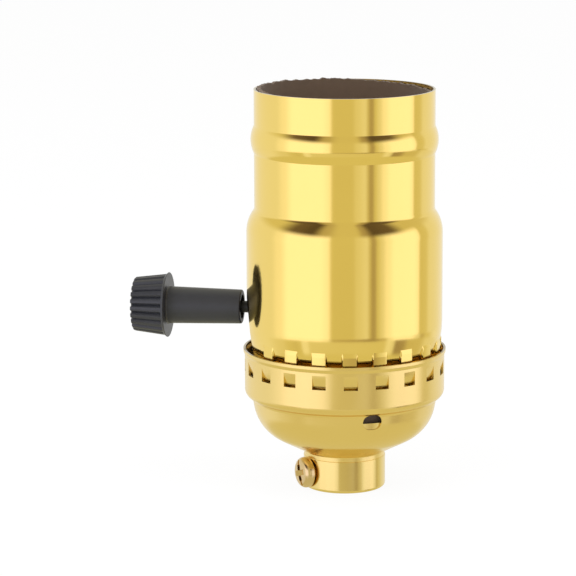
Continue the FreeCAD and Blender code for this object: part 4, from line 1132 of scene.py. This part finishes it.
def floor_material():
    """White paper: as bright as its background to the eye, and a plain pale surface to the light."""
    material = bpy.data.materials.new("paper_floor")
    material.use_nodes = True
    tree = material.node_tree
    fibre = add_node(tree, "ShaderNodeTexNoise", {"Vector": own_place(tree), "Scale": 300.0, "Detail": 3.0})
    paper = feed(tree.nodes["Principled BSDF"], {
        "Base Color": mixed(tree, fibre.outputs["Fac"], PAPER_SHADE, PAPER_WHITE), "Roughness": 0.9})
    glow = add_node(tree, "ShaderNodeEmission", {"Color": (1, 1, 1, 1), "Strength": 1.0})
    eye = tree.nodes.new("ShaderNodeLightPath").outputs["Is Camera Ray"]
    both = add_node(tree, "ShaderNodeMixShader", {
        0: times(eye, FLOOR_GLOW), 1: paper.outputs[0], 2: glow.outputs[0]})
    feed(tree.nodes["Material Output"], {"Surface": both.outputs[0]})
    return material


floor_corners = [(x * FLOOR_HALF, y * FLOOR_HALF, FLOOR_Z) for x, y in ((-1, -1), (1, -1), (1, 1), (-1, 1))]
floor = plain_mesh("floor", floor_corners, [[0, 1, 2, 3]], None, floor_material())
floor.visible_glossy = False

# STUDIO: white surroundings with two tall soft panels in front and a dimmer ceiling, which the
# polished gold reflects as soft upright bands, and soft lamps for the duller pieces.
HEADING = math.radians(9)
UP = Vector((0, 0, 1))
towards_eye = Vector((math.sin(HEADING), -math.cos(HEADING), 0))
to_the_right = Vector((math.cos(HEADING), math.sin(HEADING), 0))
WALL_BANDS = [
    (-180, 0.90), (-152, 0.93), (-98, 0.93), (-84, 1.08), (-69, 1.36), (-30, 1.36), (-21, 1.24), (-15, 0.74),
    (8, 0.74), (14, 0.83), (25, 0.90), (29, 0.66), (31, 0.48), (34, 0.48), (38, 0.76), (43, 0.88), (50, 1.12),
    (60, 1.32), (88, 1.34), (94, 1.24), (99, 0.74), (108, 0.77), (118, 0.90), (154, 0.93), (180, 0.90)]
CEILING_BANDS = [
    (-180, 0.80), (-100, 0.75), (-68, 0.16), (-44, 0.11), (-26, 0.55), (-8, 0.72), (14, 0.72), (24, 0.45),
    (36, 0.12), (60, 0.15), (84, 0.70), (180, 0.80)]
TABLE_EDGE_BANDS = [
    (-180, 0.90), (-98, 0.93), (-84, 1.05), (-70, 1.30), (-32, 1.30), (-22, 1.10), (-14, 0.60), (0, 0.55),
    (10, 0.50), (32, 0.40), (46, 0.62), (54, 1.00), (62, 1.25), (84, 1.25), (96, 0.90), (103, 0.60),
    (112, 0.76), (133, 0.93), (180, 0.90)]
TABLE_BANDS = [
    (-180, 0.90), (-110, 0.93), (-84, 0.84), (-70, 0.76), (-62, 0.72), (-56, 0.76), (-52, 0.98), (-48, 0.98),
    (-42, 0.82), (0, 0.79), (46, 0.77), (53, 0.95), (58, 0.90), (64, 0.40), (72, 0.44), (84, 0.68),
    (100, 0.70), (116, 0.86), (180, 0.90)]
CEILING_FROM = (14, 30)
TABLE_EDGE_FROM = (-13.2, -14.2)
TABLE_FROM = (-15.6, -17.5)
TABLE_MIDDLE_FROM = (-27, -33)
TABLE_MIDDLE = (0.76, 0.72, 0.48, 1)
PLAIN_WORLD = (0.8, 0.8, 0.8, 1)
WHITE = (1, 1, 1, 1)
WARMTH = ([0.1, 0.75, 0.92, 1.4], [0.74, 0.94, 1.0, 0.97], [0.60, 0.62, 0.98, 1.15])


def band_ramp(tree, where, bands):
    """Colour ramp from bands given as (degrees to the right of the eye, brightness), warmer where dim."""
    ramp = add_node(tree, "ShaderNodeValToRGB", {0: where})
    stops = ramp.color_ramp
    stops.interpolation = "EASE"
    while len(stops.elements) < len(bands):
        stops.elements.new(0.5)
    for stop, (degrees, bright) in zip(stops.elements, bands):
        green, blue = (np.interp(bright, WARMTH[0], shares) for shares in WARMTH[1:])
        stop.position = degrees / 360 + 0.5
        stop.color = (bright, bright * green, bright * blue, 1)
    return ramp.outputs[0]


world = bpy.data.worlds.new("studio")
scene.world = world
world.use_nodes = True
tree = world.node_tree
way = tree.nodes.new("ShaderNodeTexCoord").outputs["Generated"]
sideways, nearer, upwards = (
    add_node(tree, "ShaderNodeVectorMath", {0: way, 1: axis}, operation="DOT_PRODUCT").outputs["Value"]
    for axis in (to_the_right, towards_eye, UP))
around = calc("MULTIPLY_ADD", calc("ARCTAN2", sideways, nearer), 0.5 / math.pi, 0.5)


def passing(start, end):
    """Share, from 0 to 1, by which a way has passed from one angle of elevation to another."""
    return eased(tree, upwards, math.sin(math.radians(start)), math.sin(math.radians(end)))


all_round = band_ramp(tree, around, WALL_BANDS)
for zone, bands in (
    (CEILING_FROM, CEILING_BANDS), (TABLE_EDGE_FROM, TABLE_EDGE_BANDS), (TABLE_FROM, TABLE_BANDS),
):
    all_round = mixed(tree, passing(*zone), all_round, band_ramp(tree, around, bands))
all_round = mixed(tree, passing(*TABLE_MIDDLE_FROM), all_round, TABLE_MIDDLE)
rays = tree.nodes.new("ShaderNodeLightPath").outputs
plain = mixed(tree, rays["Is Camera Ray"], PLAIN_WORLD, WHITE)
feed(tree.nodes["Background"], {"Color": mixed(tree, rays["Is Glossy Ray"], plain, all_round)})


HOLDER_MIDDLE = Vector((0, 0, 0.04))


def soft_lamp(name, degrees, height, distance, width, watts):
    """Square area lamp at an angle to the right of the eye, facing the holder's middle."""
    data = bpy.data.lights.new(name, "AREA")
    data.size = width
    data.energy = watts
    lamp = bpy.data.objects.new(name, data)
    scene.collection.objects.link(lamp)
    angle = math.radians(degrees)
    lamp.location = (towards_eye * math.cos(angle) + to_the_right * math.sin(angle)) * distance + UP * height
    lamp.rotation_mode = "QUATERNION"
    lamp.rotation_quaternion = (HOLDER_MIDDLE - lamp.location).to_track_quat("-Z", "Y")
    lamp.visible_glossy = False


soft_lamp("lamp_left", -50, 0.45, 0.7, 0.5, 3.0)
soft_lamp("lamp_right", 65, 0.40, 0.7, 0.5, 2.5)
soft_lamp("lamp_above", -10, 0.9, 0.2, 0.6, 3.0)

# CAMERA: a long lens a little above the holder, in front of it and slightly to its right. It is
# moved to the left, so that the knob has room beside the holder.
EYE_PITCH = math.radians(10.77)
EYE_DISTANCE = 504.765
EYE_HEIGHT = 37.8
EYE_LEFT = 10.56
EYE_ROLL = math.radians(-0.2)
EYE_LENS = 168.75
camera_data = bpy.data.cameras.new("camera")
camera_data.lens = EYE_LENS
camera_data.sensor_width = 36
camera_data.clip_start, camera_data.clip_end = 0.01, 10
camera = bpy.data.objects.new("camera", camera_data)
scene.collection.objects.link(camera)
ahead = -towards_eye * math.cos(EYE_PITCH) - UP * math.sin(EYE_PITCH)
camera.location = (UP * EYE_HEIGHT - to_the_right * EYE_LEFT - ahead * EYE_DISTANCE) * MM
camera.rotation_mode = "QUATERNION"
camera.rotation_quaternion = ahead.to_track_quat("-Z", "Y") @ Quaternion((0, 0, 1), EYE_ROLL)
scene.camera = camera
scene.view_settings.view_transform = "Standard"
